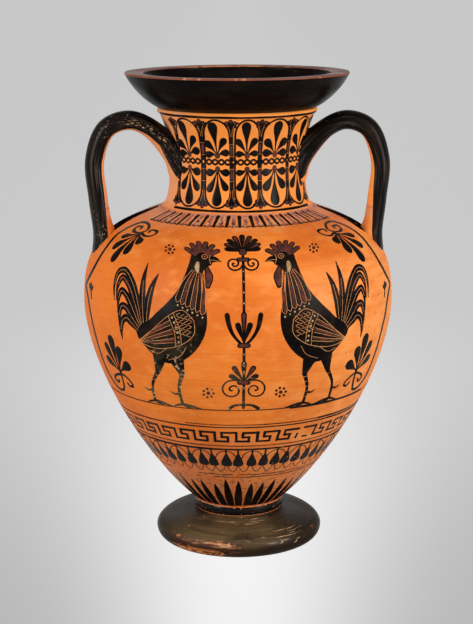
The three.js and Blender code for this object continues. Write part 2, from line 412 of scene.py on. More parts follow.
def clay_finish():
    """Fired clay: wheel-marked, mottled, pink and dirty low down, with painted shade deepening the left side
    and the upper right shoulder, and painted light paling the right side.
    """
    f = Finish("fired_clay", CLAY_DEEP, Specular_IOR_Level=0.16)
    mottle = f.noise(70, 6, (1, 1, 2))
    wheel = f.noise(5, 5, (1, 1, 70))
    scored = f.noise(9, 3, (1, 1, 95), offset=5)
    patches = f.noise(36, 6, (1, 1, 1.8), offset=12)
    dirt = f.noise(230, 7, (1, 1, 1.6), offset=9)
    stains = f.noise(24, 7, (1, 1, 1.6), offset=7)
    f.lay(CLAY, f.fade(f.noise(11, 5), 0.36, 0.62))
    f.lay(CLAY_PALE, f.fade(mottle, 0.46, 0.78, high=0.6))
    # Painted light pales the right side, and painted shade deepens the left side.
    f.lay(CLAY_PALE, f.fade(f.across, 0.010, 0.115), f.fade(mottle, 0.25, 0.60, 0.3, 0.75))
    f.lay(CLAY_DEEP, f.fade(f.across, -0.055, -0.125, high=0.5))
    f.lay(CLAY_DEEP, f.fade(wheel, 0.45, 0.66, high=0.36))
    # Painted light: paler patches towards the right side.
    f.lay(CLAY_PALE, f.fade(f.across, -0.02, 0.06), f.fade(patches, 0.50, 0.64, high=0.7))
    f.lay(CLAY_STAIN, f.fade(scored, 0.62, 0.74, high=0.15))
    f.lay(CLAY_YELLOW, f.fade(f.height, 0.300, 0.330, high=0.62))
    # A paler pink round the collar and on the upper left of the neck.
    collar = f.between(f.height, 0.299, 0.306, 0.3116, 0.3135)
    pale_left_neck = f.both(f.fade(f.height, 0.306, 0.316), f.fade(f.across, -0.036, -0.054))
    f.lay(CLAY_PINK, f.maths("MAXIMUM", collar, pale_left_neck), f.fade(mottle, 0.36, 0.62, 0.2, 0.85))
    joint = f.between(f.height, 0.3098, 0.3103, 0.3114, 0.3119)
    f.lay(RED_PALE, joint, f.fade(mottle, 0.3, 0.6, 0.3, 0.9))
    f.lay(CLAY_ROSE, f.fade(f.height, 0.150, 0.055, high=0.62), f.fade(mottle, 0.25, 0.6))
    f.lay(CLAY_STAIN, f.fade(f.height, 0.125, 0.070), f.fade(dirt, 0.52, 0.66, high=0.75))
    # Painted shade: a deeper orange on the upper right shoulder near the handle root.
    right = f.between(f.across, 0.030, 0.052, 0.092, 0.108)
    shoulder = f.between(f.height, 0.270, 0.282, 0.302, 0.309)
    f.lay(CLAY_DEEP, right, shoulder, f.fade(mottle, 0.2, 0.65, 0.4, 1.0))
    f.lay(CLAY_STAIN, f.fade(stains, 0.64, 0.78, high=0.26))
    f.lay(CLAY_STAIN, f.fade(f.noise(330, 2, offset=3), 0.69, 0.75, high=0.6))
    f.roughness(f.fade(mottle, 0.3, 0.7, 0.48, 0.62))
    f.bump(f.maths("ADD", f.maths("MULTIPLY", wheel, 0.8), f.noise(900, 2)), 0.35, 0.0004)
    return f.done()


def gloss(name, chips, brown, streaks=(1, 1, 1), specular=0.1, on_strap=False):
    """Black gloss, thin and brown in places and chipped to the clay; more coats may follow."""
    f = Finish(name, BLACK, Specular_IOR_Level=specular)
    if on_strap:
        f.place = f.add("ShaderNodeAttribute", {"attribute_name": STRAP}).outputs["Vector"]
    thin = f.noise(34, 6, streaks)
    brushed = f.noise(120, 4, streaks, offset=5)
    flakes = f.noise(230, 3, streaks, offset=9)
    zones = f.noise(13, 3, offset=2)
    f.lay(BLACK_BROWN, f.fade(thin, 0.42, 0.78, high=brown))
    f.lay(BLACK_OLIVE, f.fade(brushed, 0.52, 0.80, high=brown))
    bare = f.maths("ADD", f.fade(flakes, 0.40, 0.80), f.fade(zones, 0.35, 0.75, -0.18, 0.18))
    f.lay(CHIP, f.fade(bare, chips, chips + 0.10))
    f.roughness(f.fade(thin, 0.35, 0.75, 0.24, 0.42))
    f.bump(brushed, 0.22, 0.0003)
    return f


def picture_finish():
    """The picture's gloss, worn olive and flecked low on the left."""
    f = gloss("picture_gloss", 0.86, 0.9, specular=0.035)
    low = f.both(f.fade(f.height, 0.225, 0.172), f.fade(f.across, 0.03, -0.03))
    f.lay(OLIVE_WORN, low, f.fade(f.noise(55, 5, offset=3), 0.36, 0.58))
    f.lay(FLECK, low, f.fade(f.noise(260, 4, offset=1), 0.60, 0.66))
    return f.done()


def handle_finish(name, chips, brown, streaks, specular, flecks, root_wear=0.0):
    """A handle's gloss, brushed along the strap and flecked, and worn in a band near the neck."""
    f = gloss(name, chips, brown, streaks, specular, on_strap=True)
    f.lay(BRUSHED, f.fade(f.noise(420, 4, (2.4, 0.05, 1), 8), 0.54, 0.66, high=0.9))
    specks = f.noise(1500, 3, (1, 0.2, 1), 4)
    f.lay(FLECK, f.fade(specks, flecks, flecks + 0.05), f.fade(f.noise(46, 3, offset=6), 0.49, 0.62))
    around, along, _ = f.parts_of_place()
    near_neck = f.between(along, 0.024, 0.034, 0.062, 0.080)
    in_front = f.between(around, 0.0045, 0.0065, 0.0085, 0.0125)
    f.lay(FLECK, near_neck, in_front, f.fade(specks, flecks - 0.055, flecks - 0.015, high=root_wear))
    return f.done()


def tongue_finish():
    """Thin red, half rubbed away, with whitish spots in front that are painted highlights."""
    f = Finish("pale_red", RED, Specular_IOR_Level=0.2, Roughness=0.6)
    f.lay(RED_PALE, f.fade(f.noise(210, 5), 0.40, 0.62))
    f.lay(CLAY_PINK, f.fade(f.noise(140, 4, offset=3), 0.56, 0.68, high=0.85))
    # Painted highlights: whitish spots on the front of the red tongues.
    front = f.between(f.across, -0.055, -0.025, 0.010, 0.050)
    f.lay(ROSE_WHITE, front, f.fade(f.noise(230, 4, offset=6), 0.52, 0.62))
    return f.done()


def line_finish():
    """Thinned slip, brown where the brush ran dry."""
    f = Finish("thin_slip", BLACK, Specular_IOR_Level=0.1, Roughness=0.6)
    f.lay(BROWN_LINE, f.fade(f.noise(60, 5), 0.44, 0.66))
    f.lay(CLAY_DEEP, f.fade(f.noise(150, 4), 0.62, 0.76, high=0.6))
    return f.done()


def added_colour(name, worn, fresh, grain, limits, specular, roughness):
    """Red or white laid over the slip, worn in places."""
    f = Finish(name, worn, Specular_IOR_Level=specular, Roughness=roughness)
    f.lay(fresh, f.fade(f.noise(grain, 5), *limits))
    f.bump(f.noise(600, 3), 0.3, 0.0002)
    return f.done()


def incision_finish():
    """Lines cut through the slip to the paler clay under it."""
    f = Finish("incised_clay", CHIP, Specular_IOR_Level=0.1, Roughness=0.7)
    f.lay(INCISION, f.fade(f.noise(120, 4), 0.40, 0.62))
    return f.done()


def rub_foot(f, fine, front):
    """Wear on the foot: rubbed to the clay along its lower left front and scratched on the right; painted
    glints in streaks on the right and in front below the fillet, and painted shade on its lower edge.
    """
    grazed = f.noise(520, 6, (0.016, 1, 1.5), offset=15)
    left = f.between(f.angle, -1.15, -0.75, -0.30, 0.34)
    zone = f.both(left, f.fade(f.height, 0.0215, 0.0135))
    short = f.maths("MULTIPLY", f.maths("SUBTRACT", zone, 1), 0.3)
    short = f.maths("ADD", short, f.fade(fine, 0.3, 0.7, -0.07, 0.07))
    rubbed = f.maths("ADD", f.noise(80, 9, (0.016, 1, 1.3), offset=4), short)
    bared = f.maths("ADD", f.noise(135, 9, (0.014, 1, 1.6), offset=7), short)
    f.lay(FOOT_RED, f.fade(rubbed, 0.37, 0.48, high=0.85))
    f.lay(FOOT_RUBBED, f.fade(bared, 0.46, 0.53), f.fade(grazed, 0.44, 0.51))
    f.lay(FLECK, f.fade(bared, 0.53, 0.60), f.fade(grazed, 0.55, 0.60, high=0.9))
    # Painted glints: golden streaks of lamp light on the right and in front below the fillet, broken up as if
    # worn.
    right = f.between(f.angle, 0.22, 0.40, 0.70, 0.98)
    right = f.both(right, f.between(f.height, 0.0110, 0.0145, 0.0200, 0.0240))
    inner = f.both(f.fade(f.radius, 0.058, 0.053), f.between(f.angle, -0.55, -0.15, 0.35, 0.65))
    glint_streaks = f.noise(560, 3, (0.005, 1, 1.2), offset=21)
    f.lay(FLECK, f.maths("MAXIMUM", right, inner), f.fade(glint_streaks, 0.585, 0.655, high=0.85))
    # Painted shade: the lower half of the foot's edge, which faces down, is dark.
    f.lay(FOOT_DARK, f.fade(f.height, 0.0165, 0.0085, high=0.84))
    under = f.both(left, f.fade(f.height, 0.0100, 0.0055))
    f.lay(CHIP, under, f.fade(rubbed, 0.41, 0.51), f.fade(grazed, 0.38, 0.50))
    contour = f.maths("ABSOLUTE", f.maths("SUBTRACT", f.noise(40, 3, (0.03, 1, 1), offset=11), 0.5))
    broken = f.fade(f.noise(90, 2, (0.05, 1, 1), offset=13), 0.58, 0.65)
    f.lay(FLECK, f.fade(contour, 0.008, 0.003), broken, front, f.fade(f.angle, 0.02, 0.25, 0.1, 0.75))
    f.lay(CHIP, f.fade(fine, 0.70, 0.75, high=0.8))


def foot_finish():
    """The foot's slip with turning marks: painted light makes it olive brown in front, and it stays dark at
    its sides as painted shade.
    """
    f = Finish("foot_gloss", FOOT_DARK, Specular_IOR_Level=0.14)
    f.use_round_places()
    mottle = f.noise(34, 6, (0.06, 1, 1))
    fine = f.noise(330, 4, (0.05, 1, 1))
    turned = f.noise(150, 5, (0.004, 1, 1.5))
    brushed = f.noise(620, 3, (0.006, 1, 1.5), offset=2)
    # Painted light: the front middle of the foot is lit olive brown, the sides stay dark as painted shade,
    # and the brush streaks show only where it is lit.
    front = f.fade(f.depth, -0.010, -0.058)
    middle = f.both(f.fade(f.across, 0.056, 0.014), f.fade(f.across, -0.070, -0.030, 0.5, 1.0))
    lit = f.maths("ADD", f.both(front, middle, 0.86), 0.14)
    f.lay(FOOT_BROWN, f.fade(mottle, 0.26, 0.58), lit)
    f.lay(FOOT_DARK, f.fade(turned, 0.46, 0.68, high=0.55))
    f.lay(FOOT_STREAK, f.fade(brushed, 0.50, 0.70, high=0.45), lit)
    rub_foot(f, fine, front)
    sheen = f.both(f.fade(f.height, 0.009, 0.019, 0.02, 0.17), f.fade(f.across, 0.036, 0.068, 1.0, 0.35))
    f.give(f.shader.inputs["Specular IOR Level"], sheen)
    f.roughness(f.fade(mottle, 0.3, 0.7, 0.30, 0.46))
    f.bump(f.maths("ADD", turned, f.maths("ADD", brushed, fine)), 0.28, 0.0003)
    return f.done()


def rim_finish():
    """The red wash on the flat of the rim, duller on top, chipped, and bare along its far inner edge."""
    f = Finish("rim_wash", RIM_RED, Specular_IOR_Level=0.15)
    worn = f.noise(48, 6)
    flakes = f.noise(150, 4, offset=6)
    f.lay(RIM_DULL, f.fade(f.height, (RIM_TOP - 0.9) * MM, (RIM_TOP - 0.2) * MM), f.fade(worn, 0.30, 0.55))
    f.use_round_places()
    far = f.both(f.fade(f.depth, 0.064, 0.076), f.fade(f.across, 0.034, 0.020))
    edge = f.both(far, f.fade(f.radius, 0.0925, 0.0885), f.fade(flakes, 0.36, 0.48))
    f.lay(CHIP, f.maths("ADD", f.fade(flakes, 0.60, 0.68, high=0.85), edge))
    f.roughness(f.fade(worn, 0.3, 0.7, 0.34, 0.5))
    f.bump(flakes, 0.25, 0.0003)
    return f.done()


FIRED_CLAY = clay_finish()
BLACK_GLOSS = gloss("black_gloss", 0.90, 0.55, specular=0.05).done()
PICTURE_GLOSS = picture_finish()
# Matt dark slip for the patches by the handles, which also stand for painted shade.
MATT_SLIP_AND_SHADE = gloss("matt_slip_and_shade", 0.96, 1.0, specular=0.0).done()
FILLET_GLOSS = gloss("fillet_gloss", 0.58, 0.6, (1, 1, 2.5)).done()
MOUTH_GLOSS = gloss("mouth_gloss", 0.98, 0.3, (1, 1, 3), 0.035).done()
WORN_GLOSS = handle_finish("worn_handle_gloss", 1.02, 0.35, (3.2, 0.5, 1), 0.08, flecks=0.635, root_wear=1.0)
SMOOTH_GLOSS = handle_finish("handle_gloss", 1.12, 0.45, (2.4, 0.4, 1), 0.06, flecks=0.70)
PALE_RED = tongue_finish()
THIN_SLIP = line_finish()
ADDED_RED = added_colour("added_red", RED_WORN, RED, 160, (0.38, 0.62), 0.12, 0.62)
ADDED_WHITE = added_colour("added_white", CREAM_WORN, CREAM, 180, (0.36, 0.60), 0.25, 0.66)
INCISED = incision_finish()
FOOT_GLOSS = foot_finish()
RIM_WASH = rim_finish()

# Where the foot's slip begins above its lower edge, and the clay lines below and above the fillet's slip
FOOT_SLIP = 1.6
FILLET_LINE = 0.8


def foot():
    widest = (FOOT_RADIUS, FOOT_EDGE)
    edge = bent((FOOT_REST_RADIUS, 0), widest, (0.6, 0.07), (1, 0.45), 14)
    top = bent(widest, (FOOT_TOP_RADIUS, FOOT_TOP), (0, 0.48), (0.55, 0.92), 30)
    hollow = bent((0, FOOT_HOLLOW_DEPTH), (FOOT_HOLLOW_RADIUS, 0), (0.5, 0), (0.9, 0.4), 16)
    outline = np.vstack([[(0, FOOT_TOP)], top[::-1], edge[-2::-1], hollow[::-1]])

    def finish_of(i, r, z):
        return 0 if r > FOOT_REST_RADIUS and z > FOOT_SLIP or z > FOOT_HOLLOW_DEPTH else 1

    return lathe("foot_disc", outline, [FOOT_GLOSS, FIRED_CLAY], finish_of, replaces=["foot"])


def fillet():
    bulge = bezier(
        (FILLET_RADIUS - FILLET_BULGE, FOOT_TOP),
        (FILLET_RADIUS, FOOT_TOP + FILLET_ROUND),
        (FILLET_RADIUS, BODY_BASE - FILLET_ROUND),
        (FILLET_RADIUS - FILLET_BULGE, BODY_BASE),
        20,
    )
    outline = np.vstack([bulge, [(FILLET_BORE, BODY_BASE), (FILLET_BORE, FOOT_TOP)]])

    def finish_of(i, r, z):
        return 0 if FOOT_TOP + FILLET_LINE < z < BODY_BASE - FILLET_LINE else 1

    return lathe(
        "fillet_ring", outline, [FILLET_GLOSS, FIRED_CLAY], finish_of,
        closed=True, replaces=["foot_fillet"],
    )


def inset(outline, distance):
    """An outline that runs upwards, moved inwards."""
    along = unit(np.gradient(outline, axis=0))
    return outline + np.stack([-along[:, 1], along[:, 0]], -1) * distance


def body():
    outside = np.vstack([flank_outline(), shoulder_outline()[1:]])
    inside = inset(outside, WALL_THICKNESS)[::-3]
    floor = BODY_BASE + BODY_FLOOR
    bore = WAIST_RADIUS - NECK_WALL
    inside = inside[(inside[:, 1] > floor) & (inside[:, 0] > bore)]
    mouth = [(bore, NECK_FOOT), (bore, NECK_FOOT - WALL_THICKNESS)]
    outline = np.vstack([[(0, BODY_BASE)], outside, mouth, inside, [(0, floor)]])
    return lathe("body_wall", outline, [FIRED_CLAY], replaces=["lower_body", "upper_body"])


def neck():
    bore = WAIST_RADIUS - NECK_WALL
    wide = (NECK_TOP_RADIUS - NECK_WALL, MOUTH_FOOT)
    inside = bezier(wide, (bore, MOUTH_FOOT - BORE_SPREAD), (bore, WAIST), (bore, NECK_FOOT), 20)
    outline = np.vstack([neck_outline(), inside])
    outside_rows = len(outline) - len(inside)

    def finish_of(i, r, z):
        return 0 if i < outside_rows else 1

    materials = [FIRED_CLAY, MOUTH_GLOSS]
    return lathe("neck_wall", outline, materials, finish_of, closed=True, replaces=["neck"])


def mouth():
    bowl = bowl_outline()
    at_slip = np.argmin(abs(bowl[:, 1] - MOUTH_SLIP))
    rounded = [(RIM_RADIUS - x, RIM_TOP - y) for x, y in RIM_ROUND]
    edge = [(RIM_RADIUS, RIM_TOP - RIM_EDGE / 2), *rounded]
    inner = RIM_RADIUS - RIM_WIDTH
    flat = [(inner + x, RIM_TOP - RIM_FALL + y) for x, y in RIM_INNER_ROUND]
    inside = bent(flat[-1], (NECK_TOP_RADIUS - NECK_WALL, MOUTH_FOOT), (0.08, 0.28), (0.65, 0.6), 24)
    outline = np.vstack([bowl, edge, flat, inside[1:]])
    rim_rows = range(len(bowl), len(bowl) + len(edge) + len(flat) - 1)

    def finish_of(i, r, z):
        if i in rim_rows:
            return 2
        return 1 if i < at_slip or i == len(outline) - 1 else 0

    materials = [MOUTH_GLOSS, FIRED_CLAY, RIM_WASH]
    return lathe("mouth_bowl", outline, materials, finish_of, closed=True, replaces=["mouth"])


# Handles
HANDLE_THICKNESS = 17
HANDLE_WIDTH = 24
HANDLE_NECK_ROOT = NECK_FOOT + 49
HANDLE_SHOULDER_ROOT = NECK_FOOT - 28
HANDLE_TOP = NECK_FOOT + 77
HANDLE_OUTER = NECK_FOOT + 42
HANDLE_BOW = 3.8
HANDLE_ARCH_SHARE = 0.56
HANDLE_ROOT_DEPTH = 14
HANDLE_FLARE = 0.75
FLARE_POWER = 6
HANDLE_ROWS = 150
HANDLE_SLIP_COLUMNS = 30
HANDLE_BARE_COLUMNS = 14
SLIP_LIMIT = 0.97
LEFT_LEAN = (21, 7)
RIGHT_LEAN = (12, 4)
LEAN_PART = 0.6
LEAN_RISE = 0.12
LEFT_SLIP_REACH = (26, 15.6, 15.2, 14.8, 14.4, 13.6, 12)
RIGHT_SLIP_REACH = (26, 19, 17.6, 15.2, 13.6, 10.6, 10)
ROOT_SINK = 1.5
ROOT_FILLET = 10
ROOT_SPREAD = 0.24
ROOT_THINNING = 0.35
ROOT_PART = 0.12
HANDLE_FLATNESS = 0.7
# The strap's places: how far apart its columns, its ends and the two handles lie
STRAP_COLUMN = HANDLE_THICKNESS / 10
STRAP_LENGTH = 200
STRAP_APART = 50


def smooth(points, step=1.0, closed=False):
    """A centripetal Catmull-Rom curve through the points, sampled about every step."""
    p = np.asarray(points, float)
    before, after = (p[-1:], p[:2]) if closed else (2 * p[:1] - p[1:2], 2 * p[-1:] - p[-2:-1])
    p = np.vstack([before, p, after])
    parts = []
    for a, b, c, d in zip(p, p[1:], p[2:], p[3:]):
        ta, tb, tc = (max(np.linalg.norm(v), 1e-6) ** 0.5 for v in (b - a, c - b, d - c))
        leave = ((b - a) / ta - (c - a) / (ta + tb) + (c - b) / tb) * tb
        arrive = ((c - b) / tb - (d - b) / (tb + tc) + (d - c) / tc) * tb
        count = max(2, round(np.linalg.norm(c - b) / step))
        t = np.linspace(0, 1, count, endpoint=False)[:, None]
        parts.append(
            b * (2 * t ** 3 - 3 * t ** 2 + 1) + leave * (t ** 3 - 2 * t ** 2 + t)
            + c * (3 * t ** 2 - 2 * t ** 3) + arrive * (t ** 3 - t ** 2)
        )
    if not closed:
        parts.append(p[-2:-1])
    return np.vstack(parts)


def even(line, count):
    """A line sampled at even steps along its length."""
    along = np.concatenate([[0], np.cumsum(np.linalg.norm(np.diff(line, axis=0), axis=1))])
    at = np.linspace(0, along[-1], count)
    return np.stack([np.interp(at, along, column) for column in line.T], -1)


def handle_line():
    neck_x = float(np.interp(HANDLE_NECK_ROOT, WALL.z, WALL.r))
    shoulder_x = float(np.interp(HANDLE_SHOULDER_ROOT, WALL.z, WALL.r))
    outer_x = shoulder_x + HANDLE_BOW
    arch_x = neck_x + (outer_x - neck_x) * HANDLE_ARCH_SHARE
    points = [
        (neck_x - HANDLE_ROOT_DEPTH, HANDLE_NECK_ROOT - 1.2 * HANDLE_ROOT_DEPTH),
        (neck_x, HANDLE_NECK_ROOT),
        (neck_x + 0.55 * (arch_x - neck_x), HANDLE_NECK_ROOT + 0.78 * (HANDLE_TOP - HANDLE_NECK_ROOT)),
        (arch_x, HANDLE_TOP),
        (arch_x + 0.64 * (outer_x - arch_x), HANDLE_TOP - 0.21 * (HANDLE_TOP - HANDLE_OUTER)),
        (outer_x, HANDLE_OUTER),
        (outer_x - 0.62 * HANDLE_BOW, (HANDLE_OUTER + HANDLE_SHOULDER_ROOT) / 2),
        (shoulder_x - HANDLE_BOW / 2, HANDLE_SHOULDER_ROOT),
        (shoulder_x + HANDLE_BOW / 2, HANDLE_SHOULDER_ROOT - 1.5 * HANDLE_ROOT_DEPTH),
    ]
    return even(smooth(points, 0.5), HANDLE_ROWS)


def eased(t):
    t = np.clip(t, 0, 1)
    return t * t * (3 - 2 * t)


def handle_rings(slip_reach):
    """Rings of a right handle: rounded outside, flatter inside, with one column at each edge of its slip."""
    line = handle_line()
    along = unit(np.gradient(line, axis=0))
    rings = []
    for share, middle, (run, rise) in zip(np.linspace(0, 1, HANDLE_ROWS), line, along):
        flare = HANDLE_FLARE * abs(2 * share - 1) ** FLARE_POWER
        half_thick = HANDLE_THICKNESS / 2 * (1 + flare)
        half_wide = HANDLE_WIDTH / 2 * (1 + flare / 2)
        reach = np.interp(share, np.linspace(0, 1, len(slip_reach)), slip_reach)
        edge = max(half_thick - reach, -SLIP_LIMIT * half_thick) / half_thick
        edge_turn = math.acos(edge if edge > 0 else -abs(edge) ** (1 / HANDLE_FLATNESS))
        slip = np.linspace(-edge_turn, edge_turn, HANDLE_SLIP_COLUMNS, endpoint=False)
        bare = np.linspace(edge_turn, 2 * math.pi - edge_turn, HANDLE_BARE_COLUMNS, endpoint=False)
        turn = np.concatenate([slip, bare])
        thinned = HANDLE_THICKNESS / 2 * (1 - ROOT_THINNING * eased((share - 1) / ROOT_PART + 1))
        outer = half_thick if share < 0.5 else thinned
        inner = -abs(np.cos(turn)) ** HANDLE_FLATNESS * half_thick
        lift = np.where(np.cos(turn) > 0, np.cos(turn) * outer, inner)
        x = middle[0] - rise * lift
        z = middle[1] + run * lift
        rings.append(np.stack([x, np.sin(turn) * half_wide, z], -1))
    return np.array(rings), line


def lean_forward(points, shares, lean):
    """Points turned about the axis towards the front; the lean eases off from the neck root."""
    turn = np.radians(lean[0] + (lean[1] - lean[0]) * eased(shares / LEAN_PART))
    x, y, z = points.T
    forward = x * np.sin(turn)
    right = x * np.cos(turn) + y * np.sin(turn)
    return np.stack([right, y * np.cos(turn) - forward, z + LEAN_RISE * forward], -1)


def seat_on_wall(points, line, lean):
    """The roots spread in a fillet where they meet the wall, and end just under its surface."""
    middles = np.stack([line[:, 0], np.zeros(HANDLE_ROWS), line[:, 1]], -1)
    middles = lean_forward(middles, np.linspace(0, 1, HANDLE_ROWS), lean)
    middles = np.repeat(middles, len(points) // HANDLE_ROWS, axis=0)
    distance, _ = WALL.nearest(np.hypot(points[:, 0], points[:, 1]), points[:, 2])
    near = np.clip(1 - distance / ROOT_FILLET, 0, 1)
    points = middles + (points - middles) * (1 + ROOT_SPREAD * near ** 2)[:, None]
    radius = np.hypot(points[:, 0], points[:, 1])
    distance, i = WALL.nearest(radius, points[:, 2])
    deep = distance < -ROOT_SINK
    seat_r = (WALL.r - ROOT_SINK * WALL.out_r)[i]
    seat_z = (WALL.z - ROOT_SINK * WALL.out_z)[i]
    points[deep, :2] *= (seat_r / radius)[deep, None]
    points[deep, 2] = seat_z[deep]
    return points


def handle(name, node, material, side, lean, slip_reach):
    rings, line = handle_rings(slip_reach)
    count = rings.shape[1]
    shares = np.repeat(np.linspace(0, 1, HANDLE_ROWS), count)
    points = seat_on_wall(lean_forward(rings.reshape(-1, 3), shares, lean), line, lean)
    points[:, 0] *= side
    around = np.tile(np.arange(count), HANDLE_ROWS) * STRAP_COLUMN
    strap = np.stack([around, shares * STRAP_LENGTH, np.full(len(shares), side * STRAP_APART)], -1)
    faces = tube_faces(HANDLE_ROWS, count, False)
    marks = (np.arange(len(faces)) % count >= HANDLE_SLIP_COLUMNS).astype(int)
    last = (HANDLE_ROWS - 1) * count
    caps = [list(range(count)), list(range(last, last + count))]
    marks = np.concatenate([marks, [0, 0]])
    return make_piece(
        name, points, faces.tolist() + caps, [material, FIRED_CLAY], marks,
        PULLED_EDGE, [node], strap,
    )


class Sheet:
    """A flat drawing, x across and y up in millimetres, laid on the wall round an anchor."""

    def __init__(self, degrees, s, flip=1, radius=None):
        self.degrees = degrees
        self.s = s
        self.flip = flip
        self.radius = radius

    def to_wall(self, flat, lift):
        s = self.s + flat[:, 1]
        radius = self.radius or WALL.radius(s)
        angle = math.radians(self.degrees) + self.flip * flat[:, 0] / radius
        return WALL.place(angle, s, lift)

    def spots(self, marks):
        """Drawing places of spots given by angle to the right of the front and way up the wall."""
        degrees, s = np.array(marks, float).T
        x = np.radians(degrees - abs(self.degrees)) * WALL.radius(s)
        return np.stack([x, s - self.s], -1)


def round_ends(line, half):
    """The line with a half-round end added at each end."""
    turn = np.radians(END_TURNS)

    def end(tip, inner, radius):
        direction = (tip - inner) / max(np.linalg.norm(tip - inner), 1e-9)
        return tip + direction * (radius * np.sin(turn))[:, None], radius * np.cos(turn)

    first, first_half = end(line[0], line[1], half[0])
    last, last_half = end(line[-1], line[-2], half[-1])
    return np.vstack([first[::-1], line, last]), np.concatenate([first_half[::-1], half, last_half])


def lies_inside(points, outline):
    """Which points lie inside a closed outline."""
    x, y = points.T
    found = np.zeros(len(points), bool)
    for (ax, ay), (bx, by) in zip(outline, np.roll(outline, -1, axis=0)):
        crosses = (ay > y) != (by > y)
        if ay != by:
            found ^= crosses & (x < (bx - ax) * (y - ay) / (by - ay) + ax)
    return found


class Paint:
    """A layer of slip: thin closed shells on the wall that become one piece."""

    def __init__(self, level=0.0):
        self.low = SUNK + level
        self.high = PROUD + level
        self.points = []
        self.faces = []
        self.count = 0

    def add(self, points, faces):
        self.points.append(points)
        self.faces.extend([[corner + self.count for corner in face] for face in faces])
        self.count += len(points)

    def stroke(self, sheet, line, width, rounded=True, closed=False):
        """A painted line; its width is one number, or one for each point."""
        line = np.asarray(line, float)
        half = np.broadcast_to(np.asarray(width, float) / 2, len(line))
        if rounded and not closed:
            line, half = round_ends(line, half)
        ahead = np.roll(line, -1, axis=0) - np.roll(line, 1, axis=0)
        if not closed:
            ahead = np.gradient(line, axis=0)
        ahead = unit(ahead)
        across = np.stack([-ahead[:, 1], ahead[:, 0]], -1)
        inner = np.linspace(-FULL_SHARE, FULL_SHARE, 2 + int(2 * half.max() / STROKE_FACET))
        columns = np.concatenate([[-1], inner, [1]])
        lift = np.concatenate([[self.low], np.full(len(inner), self.high), [self.low]])
        flat = line[:, None] + across[:, None] * (half[:, None] * columns)[..., None]
        points = sheet.to_wall(flat.reshape(-1, 2), np.tile(lift, len(line)))
        faces = tube_faces(len(line), len(columns), closed).tolist()
        if not closed:
            last = (len(line) - 1) * len(columns)
            faces += [list(range(len(columns)))[::-1], list(range(last, last + len(columns)))]
        self.add(points, faces)

    def blade(self, sheet, shape, steps, length, start=0.0, lean=0.0, scale=1.0, rounded=False):
        """A stroke up the wall, as wide on its way as its shape says."""
        t = np.linspace(0, 1, steps)
        line = np.stack([lean * t, start + t * length], -1)
        self.stroke(sheet, line, np.interp(t, *shape) * scale, rounded)

    def dot(self, sheet, centre, size):
        x, y = centre
        self.stroke(sheet, [(x, y - size / 50), (x, y + size / 50)], size)

    def leaf(self, sheet, base, tip, bulb, stem=1.0, bend=0.0, swell=1.6):
        """A drop-shaped leaf from a thin stem to a round end; bend bows it, a high swell fills it late."""
        base, tip = np.array(base, float), np.array(tip, float)
        reach = np.linalg.norm(tip - base)
        along = (tip - base) / reach
        aside = np.array([-along[1], along[0]])
        end = tip - along * bulb / 2
        t = np.linspace(0, 1, max(12, int(reach / 1.1)))
        line = base + (end - base) * t[:, None] + aside * (bend * np.sin(math.pi * t))[:, None]
        width = stem + (bulb - stem) * eased(t) ** swell
        self.stroke(sheet, line, width)

    def patch(self, sheet, outline, grid=3.5):
        """A filled shape."""
        outline = np.asarray(outline, float)
        low, high = outline.min(0), outline.max(0)
        across, up = np.meshgrid(np.arange(low[0], high[0], grid), np.arange(low[1], high[1], grid))
        spread = np.stack([across.ravel(), up.ravel()], -1)
        spread = spread[lies_inside(spread, outline)]
        clear = np.linalg.norm(spread[:, None] - outline, axis=2).min(1) > grid / 2
        flat = [Vector(p) for p in np.vstack([outline, spread[clear]]).tolist()]
        ring = list(range(len(outline)))
        corners, _, triangles, *_ = delaunay_2d_cdt(flat, [], [ring], 1, 1e-6)
        corners = np.array([tuple(c) for c in corners])
        count = len(corners)
        top = sheet.to_wall(corners, np.full(count, self.high))
        bottom = sheet.to_wall(corners, np.full(count, self.low))
        sides = {(a, b) for t in triangles for a, b in zip(t, [*t[1:], t[0]])}
        rim = [(a, b) for a, b in sides if (b, a) not in sides]
        faces = [list(t) for t in triangles]
        faces += [[c + count for c in reversed(t)] for t in triangles]
        faces += [[b, a, a + count, b + count] for a, b in rim]
        self.add(np.vstack([top, bottom]), faces)

    def piece(self, name, material=BLACK_GLOSS, slot="black_gloss"):
        points = np.vstack(self.points)
        return make_piece(name, points, self.faces, [material], sharp=PAINTED_EDGE)


# Bands of the wall, as distances up the wall from the bands' mark
RAY_BASE = -0.7
RAY_TIP = 44
LOW_LINES = (51, 54.4)
LOW_LINE_SPANS = (((344, 622),), ((0, 276), (283, 310), (333, 356)))
BUD_TOP = 89.5
BUD_NECK = 83.5
BUD_FOOT = 67
BUD_MIDDLE = BUD_FOOT + 8
ARC_TOP = BUD_TOP - 2.2
BUD_LOOP = 59.3
KEY_LINES = ((89.5, 2.5), (94, 1.1))
KEY_FOOT = 99.7
KEY_TOP = 110.4
FIELD_LINE = 116.6
FIELD_LINE_ABOVE = 119.5
GROUND = 136.1
# Lines drawn over part of the way round only: height, width and span of degrees
PART_LINES = ((FIELD_LINE_ABOVE, 1.0, (-24, 42)), (FIELD_LINE_ABOVE, 1.0, (156, 268)))
BOLD_LINES = ((GROUND, 2.8, (22, 66)), (FIELD_LINE_ABOVE, 2.0, (38, 88)), (FIELD_LINE, 1.8, (44, 88)))
TONGUE_FOOT = 316.9
TONGUE_TOP = 336
TONGUE_START = 0.8
TONGUE_LENGTH = TONGUE_TOP - TONGUE_FOOT - 2.6
RED_TONGUE_LENGTH = TONGUE_TOP - TONGUE_FOOT - 3.2
NECK_LINES = ((340.5, 2.5, (-57, 70)), (424.4, 3.0, (-72, 76)))

